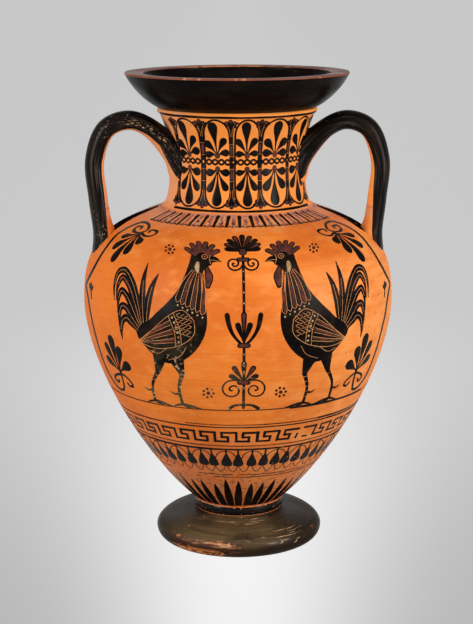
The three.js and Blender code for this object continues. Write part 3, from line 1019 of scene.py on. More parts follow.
RAYS = 39
BUDS = 52
KEYS = 36
TONGUES = 47

# The middle of the front face, and how far the tongues reach from it
FACE_CENTRE = 2
FACE_REACH = 65

# Widths of strokes: shares of the way along, and the widths there
RAY_SHAPE = ((0, 0.3, 0.55, 0.8, 0.93, 1), (6.4, 7.5, 6.9, 4.6, 2.2, 0.5))
BUD_SHAPE = ((0, 0.06, 0.2, 0.45, 0.75, 1), (5.6, 9.0, 10.2, 8.6, 4.8, 1.8))
TONGUE_SHAPE = ((0, 0.75, 0.92, 1), (2.8, 3.0, 4.1, 3.7))
RED_TONGUE_SHAPE = ((0, 1), (3.9, 3.1))
LOTUS_SHAPE = ((0, 0.5, 0.66, 0.84, 1), (3.9, 3.6, 3.8, 5.6, 8.8))

# How often a line round the vase drifts up and down on its way
DRIFT_WAVES = (2, 5, 9, 17)

# One key as shares of its pitch and height, and the key that is worn away
KEY_TURNS = ((0, 1), (0.68, 1), (0.66, 0), (1.27, 0), (1.28, 0.5), (0.99, 0.5), (1, 1))
KEY_WIDTH = 2.5
KEY_START = 0.22
WORN_KEY = 2
WORN_SHARE = 0.6


def ring(paint, s, width, hand, wobble=0.22, spans=((0, 360),)):
    """A line round the vase, drawn by a steady hand on the turning wheel, over the given spans of degrees."""
    phases = [hand.uniform(0, 6.28) for _ in DRIFT_WAVES]
    radius = float(WALL.radius(s))
    sheet = Sheet(0, s, radius=radius)
    for start, end in spans:
        turn = np.radians(np.arange(start, end + 1))
        drift = sum(np.sin(turn * n + p) / n for n, p in zip(DRIFT_WAVES, phases))
        swell = 1 + 0.10 * np.sin(turn * 3 + phases[1]) + 0.08 * np.sin(turn * 13 + phases[2])
        line = np.stack([turn * radius, drift * wobble], -1)
        paint.stroke(sheet, line, width * swell, rounded=end - start < 360)


def band_lines(hand):
    paint = Paint()
    for s, width in (*KEY_LINES, (FIELD_LINE, 1.6)):
        ring(paint, s, width, hand, 0.1)
    ring(paint, GROUND, 1.1, hand, 0.4)
    for s, width, span in PART_LINES:
        ring(paint, s, width, hand, 0.1, (span,))
    bold = Paint()
    for s, width, span in BOLD_LINES:
        ring(bold, s, width, hand, 0.1, (span,))
    bold.piece("bold_lines")
    for s, spans in zip(LOW_LINES, LOW_LINE_SPANS):
        ring(paint, s, 1.0, hand, spans=spans)
    return paint.piece("band_lines", THIN_SLIP, "brown_gloss")


def neck_lines(hand):
    paint = Paint()
    for s, width, (start, end) in NECK_LINES:
        for face in (0, 180):
            ring(paint, s, width, hand, spans=((face + start, face + end),))
    return paint.piece("neck_lines")


def rays(hand):
    paint = Paint()
    for i in range(RAYS):
        degrees = 360 * (i + hand.uniform(-0.08, 0.08)) / RAYS
        length = RAY_TIP - RAY_BASE + hand.uniform(-5, 3.5)
        paint.blade(Sheet(degrees, RAY_BASE), RAY_SHAPE, 26, length, lean=hand.uniform(-0.7, 0.7))
    return paint.piece("base_rays")


def buds(hand):
    """Hanging lotus buds, linked by arcs over every second stem and by loops below."""
    paint, thin = Paint(), Paint()
    radius = float(WALL.radius(BUD_MIDDLE))
    step = 2 * math.pi * radius / BUDS
    height = BUD_NECK - BUD_FOOT
    rise = ARC_TOP - BUD_FOOT
    hang = [(0.6, 0.5), (0.25 * step, -5.2)]
    loop = [*hang, (0.5 * step, BUD_LOOP - BUD_FOOT), *[(step - x, y) for x, y in hang[::-1]]]
    arc = [(-0.86 * step, 9), (-0.7 * step, 15), (-0.35 * step, rise - 1), (0, rise)]
    arc += [(-x, y) for x, y in arc[-2::-1]]
    for i in range(BUDS):
        sheet = Sheet(360 * i / BUDS + hand.uniform(-0.5, 0.5), BUD_FOOT, radius=radius)
        lean = hand.uniform(-0.7, 0.7)
        paint.blade(sheet, BUD_SHAPE, 18, height, lean=lean, scale=hand.uniform(0.92, 1.06))
        stem = smooth([(lean, height - 1), (lean * 0.6, BUD_TOP - BUD_FOOT)], 1.5)
        paint.stroke(sheet, stem, 1.6)
        thin.stroke(sheet, smooth(loop, 0.9), 0.8)
        if i % 2:
            thin.stroke(sheet, smooth(arc, 1.0), 0.95)
    thin.piece("bud_links", THIN_SLIP, "brown_gloss")
    return paint.piece("lotus_buds")


def running_key(hand):
    """One running key all round, broken where it is worn away."""
    paint = Paint()
    radius = float(WALL.radius((KEY_FOOT + KEY_TOP) / 2))
    spots = np.array(KEY_TURNS) * (2 * math.pi * radius / KEYS, KEY_TOP - KEY_FOOT)
    t = np.linspace(0, 1, 9)[:, None]
    for i in range(KEYS):
        sheet = Sheet(360 * (i + KEY_START) / KEYS, KEY_FOOT, radius=radius)
        for j, (start, end) in enumerate(zip(spots, spots[1:])):
            if i == WORN_KEY and j > 2:
                continue
            if i == WORN_KEY and j > 0:
                start = start + (end - start) * WORN_SHARE
            shake = [(hand.uniform(-0.25, 0.25), hand.uniform(-0.25, 0.25)) for _ in range(2)]
            start, end = np.array([start, end]) + shake
            paint.stroke(sheet, start + (end - start) * t, KEY_WIDTH * hand.uniform(0.88, 1.14))
    return paint.piece("running_key")


def tongues(hand):
    """Black and red tongues in turn on the shoulder, hung from the neck and footed by a thin line."""
    black, red, thin = Paint(), Paint(), Paint()
    half = math.pi * float(WALL.radius(TONGUE_FOOT)) / TONGUES / 2
    hem = smooth([(-half, 1.2), (-0.6 * half, -0.4), (0, -1.0), (0.6 * half, -0.4), (half, 1.2)], 0.6)
    for i in range(TONGUES):
        degrees = 360 * (i + 0.17 + hand.uniform(-0.06, 0.06)) / TONGUES
        if abs(math.sin(math.radians(degrees - FACE_CENTRE))) > math.sin(math.radians(FACE_REACH)):
            continue
        sheet = Sheet(degrees, TONGUE_FOOT)
        beside = Sheet(degrees + 180 / TONGUES, TONGUE_FOOT)
        lean = hand.uniform(-0.4, 0.4)
        black.blade(sheet, TONGUE_SHAPE, 14, TONGUE_LENGTH, TONGUE_START, lean, rounded=True)
        lean = hand.uniform(-0.3, 0.3)
        scale = hand.uniform(0.85, 1.05)
        red.blade(beside, RED_TONGUE_SHAPE, 14, RED_TONGUE_LENGTH, TONGUE_START, lean, scale, True)
        for scallop in (sheet, beside):
            thin.stroke(scallop, hem, 1.0)
    red.piece("red_tongues", PALE_RED, "added_red")
    thin.piece("tongue_line", THIN_SLIP, "brown_gloss")
    return black.piece("black_tongues")


# The neck's festoon, with heights from the middle of its chain
CHAIN = WALL.s_at(356)
CELLS = ((-43, 13.2), (-16.2, 11.5), (8.2, 10.5), (32.3, 13.2), (59.5, 13.6))
STEM_CENTRES = (-57.5, -28.8, -4.8, 18.2, 45.8, 75)
ARCH_TOP = 38
ARCH_FOOT = -40
ARCH_ROUND = 14
# How the upper palmettes lean with their place on the neck
FESTOON_TILT = 0.17
FESTOON_LEAN = 3.5
# The palmettes above and below the chain: heights of heart and tip, and the long and short side leaves
PALMETTES = {1: (5.4, 30.8, (0.80, 14.7), (0.94, 2.8)), -1: (-6.0, -32.4, (0.75, -19.2), (0.90, -4.4))}
# The lotus flowers, by the way aside and the way back from their tips
LOTUS_GAP = 1.5
LOTUS_LOBES = ((-3.5, 1.6), (3.5, 1.6), (0, 0))
LOTUS_PETAL = ((3.4, 5), (6.8, 0.6))
LOTUS_CUT = ((0.7, 14), (1.1, 9), (2.6, 4))
# The chain of two waves: its ends in degrees, its swing, the length of a wave and its width
CHAIN_SPAN = (-56, 72)
CHAIN_SWING = 2.1
CHAIN_WAVE = 11.2
CHAIN_WIDTH = 2.0


def arch_line(half):
    """The closed line round one cell: straight sides with round ends."""
    turn = np.linspace(0, math.pi, 24)
    x = half * np.cos(turn)
    y = ARCH_ROUND * np.sin(turn)
    over = np.stack([x, ARCH_TOP - ARCH_ROUND + y], -1)
    under = np.stack([-x, ARCH_FOOT + ARCH_ROUND - y], -1)
    sides = np.linspace(0, 1, 26)[1:-1, None]
    left = over[-1] + (under[0] - over[-1]) * sides
    right = under[-1] + (over[0] - under[-1]) * sides
    return np.vstack([over, left, under, right])


def festoon_palmette(black, red, sheet, half, up, hand):
    """A palmette of five leaves in a cell; up is 1 for the upper one and -1 for the one hanging below."""
    rise, reach, *side_leaves = PALMETTES[up]
    heart = np.array([0, rise])
    tilt = math.radians(FESTOON_TILT * sheet.degrees - FESTOON_LEAN) if up > 0 else 0

    def leaned(x, y):
        return heart + (x * math.cos(tilt) + y * math.sin(tilt), y * math.cos(tilt) - x * math.sin(tilt))

    tip = leaned(hand.uniform(-0.6, 0.6), reach)
    black.leaf(sheet, heart, tip, hand.uniform(0.38, 0.41) * half + 4.6, 1.2, swell=2.3)
    for side in (-1, 1):
        for (x, y), swell in zip(side_leaves, (2.2, 1.5)):
            spot = leaned(side * x * half * hand.uniform(0.96, 1.03), y * hand.uniform(0.94, 1.06))
            bulb = (0.5 * half + 1) * hand.uniform(0.94, 1.06)
            black.leaf(sheet, heart, spot, bulb, 1.1, side * up * 0.7, swell)
    red.dot(sheet, heart, 4.8)


def festoon_lotus(black, red, line, sheet, up, hand):
    """One end of a lotus stem: banded with red, flaring into a flower with three red lobes."""
    reach = (ARCH_TOP if up > 0 else -ARCH_FOOT) - LOTUS_GAP

    def places(marks, side=1):
        return [(side * x, up * (reach - y)) for x, y in marks]

    black.blade(sheet, LOTUS_SHAPE, 26, up * (reach - 2.8), up * LOTUS_GAP)
    for lobe in places(LOTUS_LOBES):
        black.dot(sheet, lobe, 4.2)
        red.dot(sheet, lobe, 2.7)
    for side in (-1, 1):
        black.leaf(sheet, *places(LOTUS_PETAL, side), 1.8, 2.6, side * up * 0.8)
        line.stroke(sheet, smooth(places(LOTUS_CUT, side), 0.8), 0.24)
    start = hand.uniform(7, 9)
    red.stroke(sheet, [(0, up * (start + y)) for y in (0, 3, 6)], 2.4)
    for y in (start - 2, start + 8.5):
        line.stroke(sheet, [(x, up * y) for x in (-1.9, 0, 1.9)], 0.26)


def neck_festoon(hand):
    black, red, line = Paint(), Paint(OVERPAINT), Paint(OVERPAINT)
    for face in (0, 180):
        for degrees, half in CELLS:
            sheet = Sheet(face + degrees + hand.uniform(-0.5, 0.5), CHAIN)
            black.stroke(sheet, arch_line(half), 1.9, closed=True)
            for up in (-1, 1):
                festoon_palmette(black, red, sheet, half, up, hand)
        for degrees in STEM_CENTRES:
            sheet = Sheet(face + degrees, CHAIN)
            for up in (-1, 1):
                festoon_lotus(black, red, line, sheet, up, hand)
        radius = float(WALL.radius(CHAIN))
        sheet = Sheet(face, CHAIN, radius=radius)
        x = np.linspace(*[math.radians(end) * radius for end in CHAIN_SPAN], 360)
        for side in (-1, 1):
            wave = np.stack([x, side * CHAIN_SWING * np.sin(2 * math.pi * x / CHAIN_WAVE)], -1)
            black.stroke(sheet, wave, CHAIN_WIDTH)
    red.piece("festoon_red", ADDED_RED, "added_red")
    line.piece("festoon_incisions", FIRED_CLAY, "clay")
    return black.piece("neck_festoon")


# The ornament below each handle, by angle from the front and way up the wall, as on the right front
UPPER_TENDRIL = (
    (77.5, 231.5), (71.3, 245.6), (68.2, 258), (67.6, 273), (69, 286), (68.5, 299), (64, 309.8),
    (55.5, 309.5), (51, 301), (54, 296.3), (60.5, 297.5), (62, 303), (58, 304.3), (57, 301.2),
)
UPPER_CURL = (
    (52.3, 296.4), (48, 293.6), (44.4, 295.4), (43.2, 299.8), (45.4, 303.2), (48.6, 302.4), (48.4, 299.4),
)
UPPER_HEART = (52.5, 294.5)
UPPER_LEAVES = (
    ((46.8, 283), 8), ((63.5, 287), 7), ((50.6, 270.5), 9.4), ((61.8, 273), 9), ((56.6, 260.5), 10),
)
LOWER_TENDRIL = (
    (77.5, 231.5), (72, 222), (69, 208), (67, 193), (66.2, 176), (65.6, 160), (64, 149.5), (61.4, 143.5),
    (58, 140.8), (55.2, 142.5), (53.6, 148), (52.7, 156), (52.5, 162),
)
LOWER_HEART = (52.5, 162.5)
LOWER_LEAVES = (
    ((60.6, 173), 8.4), ((58.6, 188.5), 8.6), ((53.6, 197.5), 10), ((48.9, 187.5), 9.4),
    ((44.9, 173.5), 9.6),
)
LOWER_CURL_OUT = ((53.3, 159.5), (56, 157.8), (59, 154.2), (59.2, 150.6), (57, 149.6), (56.2, 152.2))
LOWER_CURL_IN = ((51.8, 159.7), (49.4, 157.9), (47.2, 154), (47, 150.4), (48.9, 149), (50, 151.4))
KNOT = (77.5, 231.5)
SPRIG = ((67.6, 224.5), (68, 227.5), (68.6, 230.5))
SPRIG_TIPS = ((66.6, 235), (69.2, 237.6), (71.4, 235))
ORNAMENT_LINES = (
    (UPPER_TENDRIL, 2.7), (LOWER_TENDRIL, 2.9), (UPPER_CURL, 2.5),
    (LOWER_CURL_OUT, 2.5), (LOWER_CURL_IN, 2.5), (SPRIG, 1.8),
)
# Lines are laid on broader near the handle, where the wall turns away
BROADER = ((56, 70), (1, 1.9))
# The ornament's middle on the right front, and where it is laid, turned over where the last number is -1
ORNAMENT_PLACE = 60
ORNAMENT_SHEETS = ((60, 1), (-60, -1), (120, -1), (-120, 1))


def handle_ornament(hand):
    paint = Paint()
    spots_of = Sheet(ORNAMENT_PLACE, GROUND).spots
    for degrees, flip in ORNAMENT_SHEETS:
        sheet = Sheet(degrees, GROUND, flip)
        for curve, width in ORNAMENT_LINES:
            spots = spots_of(curve)
            spots += [(hand.uniform(-0.4, 0.4), hand.uniform(-0.4, 0.4)) for _ in spots]
            line = smooth(spots, 1.0)
            degrees_off = ORNAMENT_PLACE + np.degrees(line[:, 0] / WALL.radius(GROUND + line[:, 1]))
            paint.stroke(sheet, line, width * hand.uniform(0.92, 1.08) * np.interp(degrees_off, *BROADER))
        for heart, leaves in ((UPPER_HEART, UPPER_LEAVES), (LOWER_HEART, LOWER_LEAVES)):
            middle = spots_of([heart])[0]
            paint.dot(sheet, middle, 4.4)
            for tip, bulb in leaves:
                spot = spots_of([tip])[0] + (hand.uniform(-0.5, 0.5), hand.uniform(-0.5, 0.5))
                paint.leaf(sheet, middle, spot, 1.04 * bulb, 1.5, swell=1.6)
        paint.dot(sheet, spots_of([KNOT])[0], 6)
        for tip in SPRIG_TIPS:
            paint.leaf(sheet, *spots_of([SPRIG[-1], tip]), 4.4, 2.4, swell=0.8)
    return paint.piece("handle_ornament")


# The dark matt patch between the neck and each handle, partly slip and partly painted shade: its foot on the
# wall, and its widths by the way up from there
HANDLE_DARK_FOOT = 279
HANDLE_DARK_WIDTHS = ((-5, 14), (-2, 32), (4, 45), (12, 49), (20, 40), (30, 28), (42, 19), (54, 9))


def handle_slip_and_shade():
    paint = Paint()
    way_up, width = smooth(HANDLE_DARK_WIDTHS, 1.0).T
    line = np.stack([np.zeros(len(way_up)), way_up], -1)
    for degrees in (90, -90):
        paint.stroke(Sheet(degrees, HANDLE_DARK_FOOT), line, width, rounded=False)
    return paint.piece("handle_slip_and_shade", MATT_SLIP_AND_SHADE, "black_gloss")


# The picture: two cocks that face each other across a palmette tree, drawn in the bird's own places
BIRD_SCALE = 1.02
BEAK_TIP = 90
BEAK_GAP = 18.5
CROWN = 146
BIRD_OUTLINE = (
    (82, 139), (79, 143), (73, 146), (66.5, 142), (63.5, 132), (59, 119), (52, 106), (43, 96), (33, 87),
    (25, 80), (18, 78), (12, 72), (14, 64), (21, 57), (31, 49), (42, 44), (54, 46), (66, 55), (75, 69),
    (78, 84), (76, 98), (73.5, 110), (74, 120), (77, 127), (82.5, 130.5),
)
BIRD_BEAK = ((80, 135), (85, 135.2), (BEAK_TIP, 133))
SICKLES = (
    ((18, 76), (14, 94), (8, 109), (-1, 118), (-10, 116), (-15, 105), (-15, 92)),
    ((17, 75), (11, 92), (4, 106), (-4, 112), (-10, 105), (-12, 92)),
    ((16, 74), (8, 88), (1, 98), (-5, 101), (-9, 94), (-10, 82)),
    ((15, 72), (6, 82), (0, 88), (-5, 88), (-8, 80), (-8, 70)),
    ((14, 70), (6, 76), (1, 79), (-4, 76), (-6, 68), (-5, 59)),
    ((20, 77), (19, 96), (20, 112), (24, 127)),
    ((23, 79), (25, 95), (29, 108), (35, 119)),
)
THIGHS = (((47, 58), (52, 46), (56, 34)), ((36, 60), (35, 46), (33, 34)))
SHANKS = (((56, 35), (53, 20), (56, 4)), ((33, 35), (27, 20), (29, 4)))
# A foot's three toes and its spur, from the end of the shank, with their widths
TOES = (
    (((0, 0), (8, -1.2), (17, -3.6)), (3.2, 2.6, 1.2)),
    (((0, 0), (6, -3), (10, -3.8)), (3.0, 2.2, 1.2)),
    (((0, 0), (-5, -1.6), (-9, -3.6)), (3.0, 2.2, 1.0)),
    (((-2.5, 11), (-7, 10), (-10.5, 12)), (3.0, 2.0, 0.8)),
)
SHANK_MARKS = 5
THIGH_LINES = (((44, 47), (55, 52), (60, 60)), ((26, 54), (34, 52), (42, 57)))
COMB = (74, 136)
COMB_LOBES = 6
COMB_START = 28
COMB_STEP = 24
LOBE_ROOT = (7, 8)
LOBE_TIP = (15, 17)
WATTLE = ((78, 127), (80, 119), (79, 112))
WATTLE_RED = ((78.4, 126), (80, 119), (79, 112.6))
EAR = ((70.5, 131), (70, 127.5), (70.2, 124))
EYE = (76.5, 137.5)
EYE_RADIUS = 2.3
BEAK_ROOT = ((81.5, 139.5), (80.4, 135), (81.6, 130.8))
BEAK_SLIT = ((81, 134.4), (85, 134.2), (89, 133))
HACKLE_FEATHERS = 7
HACKLE_TOP = ((66, 125), (74.5, 122))
HACKLE_HEM = ((51, 101), (76.5, 90))
HEM_SCALLOP = ((0, 0), (1.2, -3.6), (4.2, -1.8))
WING_TOP = ((67, 83), (57, 91), (45, 86), (34, 77), (24, 68), (15, 62))
WING_FOOT = ((67, 83), (67, 72), (58, 63), (45, 58), (30, 56.5), (15, 60))
WING_FEATHERS = 7
# The bar across the wing: its two lines and the dots between them, as shares of the way along the wing
BAR_LINES = (0.34, 0.42)
BAR_MIDDLE = 0.38
BAR_DOTS = 6
BAR_BOW = 2.0
WING_SCALE = ((1.6, 1.8), (-1.8, 0), (1.4, -1.9))
FEATHER_CUT = 0.42
TREE_BANDS = (29, 64, CROWN - 8)
TREE_DOTS = (40, 48, 56, 100, 109, 118, 127)
ROSETTES = ((-30, 18), (32, 18), (-64, 146), (64, 146))
ROSETTE_DOTS = 7


class Picture:
    """The picture's layers, and the sheet that it is drawn on."""

    def __init__(self, degrees, black, red, white, line):
        self.sheet = Sheet(degrees, GROUND)
        self.black, self.red, self.white, self.line = black, red, white, line

    def bird_places(self, points):
        x, y = np.array(points, float).T
        return np.stack([self.side * (BEAK_GAP + BIRD_SCALE * (BEAK_TIP - x)), BIRD_SCALE * y], -1)

    def along(self, layer, points, width):
        line = smooth(self.bird_places(points), 1.2)
        if np.ndim(width):
            width = np.interp(np.linspace(0, 1, len(line)), np.linspace(0, 1, len(width)), width)
        layer.stroke(self.sheet, line, width)

    def spot(self, layer, place, size):
        layer.dot(self.sheet, self.bird_places([place])[0], size)

    def tail(self):
        for i, sickle in enumerate(SICKLES):
            self.along(self.black, sickle, (4, 6.4, 7.2, 6.4, 4.2, 1.0))
            self.along(self.line, sickle[:-1], 0.4)
            if i % 2:
                self.along(self.red, sickle[1:-1], (1.0, 2.4, 1.0))

    def legs(self):
        for thigh, shank in zip(THIGHS, SHANKS):
            self.along(self.black, thigh, (17, 13, 5))
            self.along(self.black, shank, (4.6, 3.0, 3.0))
            for toe, width in TOES:
                self.along(self.black, np.add(toe, shank[-1]), width)
            top = shank[0][0]
            for k in range(SHANK_MARKS):
                mark = ((top - 2.6 - 0.3 * k, 31 - 5 * k), (top + 1.2 - 0.4 * k, 30.4 - 5 * k))
                self.along(self.line, mark, 0.35)

    def head(self):
        self.along(self.black, BIRD_BEAK, (8.5, 5.5, 0.8))
        for k in range(COMB_LOBES):
            a = math.radians(COMB_START + COMB_STEP * k)
            way = np.array([math.cos(a), math.sin(a)])
            lobe = (COMB + way * LOBE_ROOT, COMB + way * LOBE_TIP)
            self.along(self.black, lobe, (6.0, 5.4))
            self.along(self.red, lobe, (4.6, 4.0))
        self.along(self.black, WATTLE, (4.5, 8, 5))
        self.along(self.red, WATTLE_RED, (3, 6.2, 3.2))
        self.along(self.white, EAR, (3.4, 4.6, 3))
        turn = np.radians(np.arange(0, 360, 30))
        eye = EYE + EYE_RADIUS * np.stack([np.cos(turn), np.sin(turn)], -1)
        self.line.stroke(self.sheet, smooth(self.bird_places(eye), 0.4, True), 0.5, closed=True)
        self.spot(self.line, EYE, 1.1)
        self.along(self.line, BEAK_ROOT, 0.45)
        self.along(self.line, BEAK_SLIT, 0.4)

    def hackle(self):
        """Neck feathers: long cut lines with red between, ending in a scalloped hem."""
        hems = np.linspace(*HACKLE_HEM, HACKLE_FEATHERS)
        for k, (start, end) in enumerate(zip(np.linspace(*HACKLE_TOP, HACKLE_FEATHERS), hems)):
            feather = np.array([start, (start + end) / 2 + (0.5 * k - 1.5, 1), end])
            self.along(self.line, feather, FEATHER_CUT)
            if k % 2:
                self.along(self.red, feather + (1.9, -0.8), (1.0, 2.4, 2.8))
        for hem in hems[:-1]:
            self.along(self.line, hem + HEM_SCALLOP, FEATHER_CUT)
            self.spot(self.white, hem + (1.9, -6), 1.7)

    def wing(self):
        """A wing of long feathers with red between, behind a bar of white dots and a scaled shoulder."""
        self.along(self.line, WING_TOP, 0.5)
        self.along(self.line, WING_FOOT, 0.5)
        upper, lower = smooth(WING_TOP, 0.5), smooth(WING_FOOT, 0.5)

        def across_at(place):
            return upper[int(place * len(upper))], lower[int((place + 0.04) * len(lower))]

        high, low = across_at(BAR_LINES[1])
        for k in range(1, WING_FEATHERS):
            share = k / WING_FEATHERS
            start = high * (1 - share) + low * share
            end = upper[-1] * (1 - share) + lower[-1] * share
            middle = (start + end) / 2 + (0, 1.5 - 3 * share)
            self.along(self.line, (start, middle, end), FEATHER_CUT)
            if k % 2:
                aside = [p + (0.4, -1.4) for p in (start, middle)]
                self.along(self.red, [*aside, middle * 0.4 + end * 0.6 + (0.4, -1.2)], (2.0, 2.4, 1.0))
        for place in BAR_LINES:
            high, low = across_at(place)
            self.along(self.line, (high, (high + low) / 2 + (BAR_BOW, 0), low), 0.45)
        high, low = across_at(BAR_MIDDLE)
        for k in range(BAR_DOTS):
            share = (k + 0.6) / (BAR_DOTS + 0.4)
            bowed = high + (low - high) * share + (BAR_BOW * math.sin(math.pi * share), 0)
            self.spot(self.white, bowed, 2.0)
        shoulder = np.vstack([upper[:80], lower[60::-1]])
        for row, k in np.ndindex(4, 4):
            place = np.array([64 - 3.6 * row - 0.6 * k, 84 - 4.4 * k + 0.9 * row])
            if lies_inside(place[None], shoulder)[0]:
                self.along(self.line, place + WING_SCALE, 0.38)

    def bird(self, side):
        """A cock on one side of the tree: -1 for the left, 1 for the right."""
        self.side = side
        self.tail()
        self.legs()
        self.black.patch(self.sheet, smooth(self.bird_places(BIRD_OUTLINE), 1.6, True))
        for fold in THIGH_LINES:
            self.along(self.line, fold, 0.45)
        self.head()
        self.hackle()
        self.wing()

    def fan(self, base, reach, leaves, spread, bulb, turn=90):
        """A palmette: leaves spread like a fan, with every second one touched with red."""
        base = np.array(base, float)
        for i in range(leaves):
            share = 2 * i / (leaves - 1) - 1
            a = math.radians(turn - spread * share)
            length = reach * (1 - 0.30 * abs(share) ** 1.5)
            way = np.array([math.cos(a), math.sin(a)])
            self.black.leaf(self.sheet, base + way * 2.5, base + way * length, bulb, 1.4, swell=0.85)
            if i % 2:
                tip = base + way * (length - 1.3)
                self.red.leaf(self.sheet, base + way * length * 0.45, tip, bulb - 2.4, 0.8)

    def volute(self, start, centre, turns=1.6, width=1.6):
        """A tendril that leaves its start and winds into a spiral."""
        start, centre = np.array(start, float), np.array(centre, float)
        gap = start - centre
        angle = math.atan2(gap[1], gap[0])
        t = np.linspace(0, 1, 70)
        wind = angle + math.copysign(2 * math.pi * turns, gap[0] * -1 if gap[1] < 0 else gap[0]) * t
        r = np.linalg.norm(gap) * (1 - t) ** 0.85 + 0.5
        self.black.stroke(self.sheet, centre + np.stack([r * np.cos(wind), r * np.sin(wind)], -1), width)

    def tree(self):
        """The tree between the birds: a stem with volutes, a lotus half way up and a palmette on top."""
        self.black.stroke(self.sheet, [(0, y) for y in range(3, CROWN - 4, 3)], 2.6)
        self.fan((0, CROWN), 22.5, 9, 76, 5.4)
        for side in (-1, 1):
            self.volute((side * 1.5, CROWN - 14), (side * 7.4, CROWN - 12))
            self.volute((side * 1.5, 28), (side * 9.5, 22))
            self.black.leaf(self.sheet, (side * 1, 64), (side * 15, 92), 4.6, 2.6, side * -3)
            self.black.leaf(self.sheet, (side * 1, 6), (side * 14, 1.6), 3.6, 2.4, side * 1.5)
        self.fan((0, 66), 27, 3, 18, 5.2)
        self.fan((0, 30), 20, 5, 62, 5.0)
        for y in TREE_BANDS:
            self.red.stroke(self.sheet, [(-2.6, y), (0, y), (2.6, y)], 3.2)
            self.black.stroke(self.sheet, [(-3.4, y), (0, y), (3.4, y)], 4.6)
        self.red.dot(self.sheet, (0, CROWN), 6)
        self.black.dot(self.sheet, (0, CROWN), 7.6)
        for y in TREE_DOTS:
            self.white.dot(self.sheet, (0, y), 1.5)

    def rosettes(self):
        """Dot rosettes in the empty field."""
        for x, y in ROSETTES:
            self.red.dot(self.sheet, (x, y), 2.6)
            self.black.dot(self.sheet, (x, y), 3.6)
            for k in range(ROSETTE_DOTS):
                a = 2 * math.pi * k / ROSETTE_DOTS
                self.black.dot(self.sheet, (x + 4.4 * math.cos(a), y + 4.4 * math.sin(a)), 2.4)

    def draw(self):
        self.tree()
        for side in (-1, 1):
            self.bird(side)
        self.rosettes()


def pictures():
    layers = (Paint(), Paint(OVERPAINT), Paint(OVERPAINT), Paint(OVERPAINT))
    for degrees in (FACE_CENTRE, FACE_CENTRE + 180):
        Picture(degrees, *layers).draw()
    black, red, white, line = layers
    black.piece("picture_black", PICTURE_GLOSS, "black_gloss")
    red.piece("picture_red", ADDED_RED, "added_red")
    white.piece("picture_white", ADDED_WHITE, "added_white")
    line.piece("picture_incisions", INCISED, "clay")


# The floor's greys in front and far behind, and the painted pool of light that the vase stands in
FLOOR_BOUNCE = (0.30, 0.30, 0.30)
FLOOR_GREYS = (0.457, 0.58)
POOL_LIGHT = 0.42
POOL_WIDTH = 0.138
POOL_WIDENING = 0.10
POOL_LEAST_WIDTH = 0.09

# Soft boxes: their names, places and sizes in metres, and watts
SOFT_BOXES = (
    ("left_box", (-1.5, -1.05, 0.62), (0.55, 1.1), 27),
    ("right_box", (1.5, -1.05, 0.62), (0.55, 1.1), 31),
    ("top_box", (0, -0.9, 1.7), (1.2, 0.8), 5),
    ("back_box", (0, 1.9, 0.9), (2.6, 0.9), 4),
)
LIGHT_TARGET = (0, 0, 0.22)
WORLD_GREY = (0.57, 0.57, 0.57)
WORLD_STRENGTH = 0.35
FLOOR_REACH = 60

# The photograph's view
CAMERA_DISTANCE = 1500.5
CAMERA_ELEVATION = 11.975
CAMERA_TARGET = (-1.35, 0, 211.65)
CAMERA_ROLL = 0.23
FOCAL_PIXELS = 1641
IMAGE_HEIGHT = 624
SENSOR_WIDTH = 36


def camera():
    data = bpy.data.cameras.new("camera")
    data.sensor_width = SENSOR_WIDTH
    data.lens = FOCAL_PIXELS / IMAGE_HEIGHT * SENSOR_WIDTH
    eye = add_object("camera", data)
    tilt = math.radians(CAMERA_ELEVATION)
    back = Vector((0, -math.cos(tilt), math.sin(tilt)))
    eye.location = (Vector(CAMERA_TARGET) + back * CAMERA_DISTANCE) * MM
    eye.rotation_mode = "QUATERNION"
    roll = Quaternion((0, 0, 1), math.radians(-CAMERA_ROLL))
    eye.rotation_quaternion = (-back).to_track_quat("-Z", "Y") @ roll
    bpy.context.scene.camera = eye


def soft_light(name, place, size, watts):
    data = bpy.data.lights.new(name, "AREA")
    data.shape = "RECTANGLE"
    data.size, data.size_y = size
    data.energy = watts
    lamp = add_object(name, data)
    lamp.location = place
    lamp.rotation_euler = (Vector(LIGHT_TARGET) - Vector(place)).to_track_quat("-Z", "Y").to_euler()


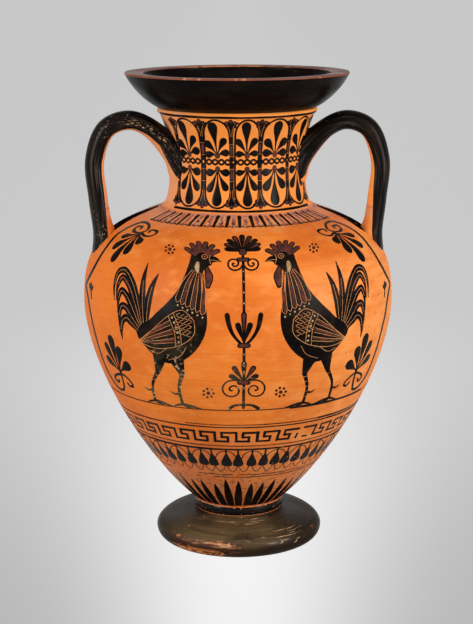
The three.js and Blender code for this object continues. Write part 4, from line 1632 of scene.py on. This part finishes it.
def floor_finish():
    """A pale floor for the eye, with a painted pool of light round the vase; the light that it throws back is
    dimmer.
    """
    f = Finish("floor", FLOOR_BOUNCE, Roughness=1)
    path = f.add("ShaderNodeLightPath").outputs
    seen = f.maths("MAXIMUM", path["Is Camera Ray"], path["Is Glossy Ray"])
    seen = f.maths("MAXIMUM", seen, path["Is Transmission Ray"])
    spread = f.maths("ADD", f.maths("MULTIPLY", f.fade(f.depth, -2, 2, -2, 2), POOL_WIDENING), POOL_WIDTH)
    spread = f.maths("MAXIMUM", spread, POOL_LEAST_WIDTH)
    aside = f.maths("POWER", f.maths("DIVIDE", f.maths("ABSOLUTE", f.across), spread), 2)
    pool = f.maths("EXPONENT", f.maths("MULTIPLY", aside, -1))
    pool = f.both(pool, f.fade(f.depth, 0, 1.2, POOL_LIGHT, 0.02), f.fade(f.depth, -0.9, -0.25))
    grey = f.maths("ADD", pool, f.fade(f.depth, -0.5, 0.9, *FLOOR_GREYS))
    glow = f.add("ShaderNodeEmission", Color=grey)
    mix = f.add("ShaderNodeMixShader")
    for value, socket in zip((seen, f.shader.outputs[0], glow.outputs[0]), mix.inputs):
        f.give(socket, value)
    f.give(f.tree.nodes["Material Output"].inputs["Surface"], mix.outputs[0])
    return f.done()


def studio():
    for box in SOFT_BOXES:
        soft_light(*box)
    world = bpy.data.worlds.new("studio")
    world.use_nodes = True
    background = world.node_tree.nodes["Background"]
    background.inputs["Color"].default_value = (*WORLD_GREY, 1)
    background.inputs["Strength"].default_value = WORLD_STRENGTH
    bpy.context.scene.world = world
    mesh = bpy.data.meshes.new("floor")
    corners = [(x * FLOOR_REACH, y * FLOOR_REACH, 0) for x, y in ((-1, -1), (1, -1), (1, 1), (-1, 1))]
    mesh.from_pydata(corners, [], [(0, 1, 2, 3)])
    mesh.materials.append(floor_finish())
    add_object("floor", mesh)


camera()
studio()
foot()
fillet()
body()
neck()
mouth()
handle("right_handle_pull", "right_handle", SMOOTH_GLOSS, 1, RIGHT_LEAN, RIGHT_SLIP_REACH)
handle("left_handle_pull", "left_handle", WORN_GLOSS, -1, LEFT_LEAN, LEFT_SLIP_REACH)
band_lines(random.Random(11))
neck_lines(random.Random(12))
rays(random.Random(13))
buds(random.Random(14))
running_key(random.Random(15))
tongues(random.Random(16))
neck_festoon(random.Random(17))
handle_ornament(random.Random(18))
handle_slip_and_shade()
pictures()

bpy.context.scene.view_settings.view_transform = "Standard"
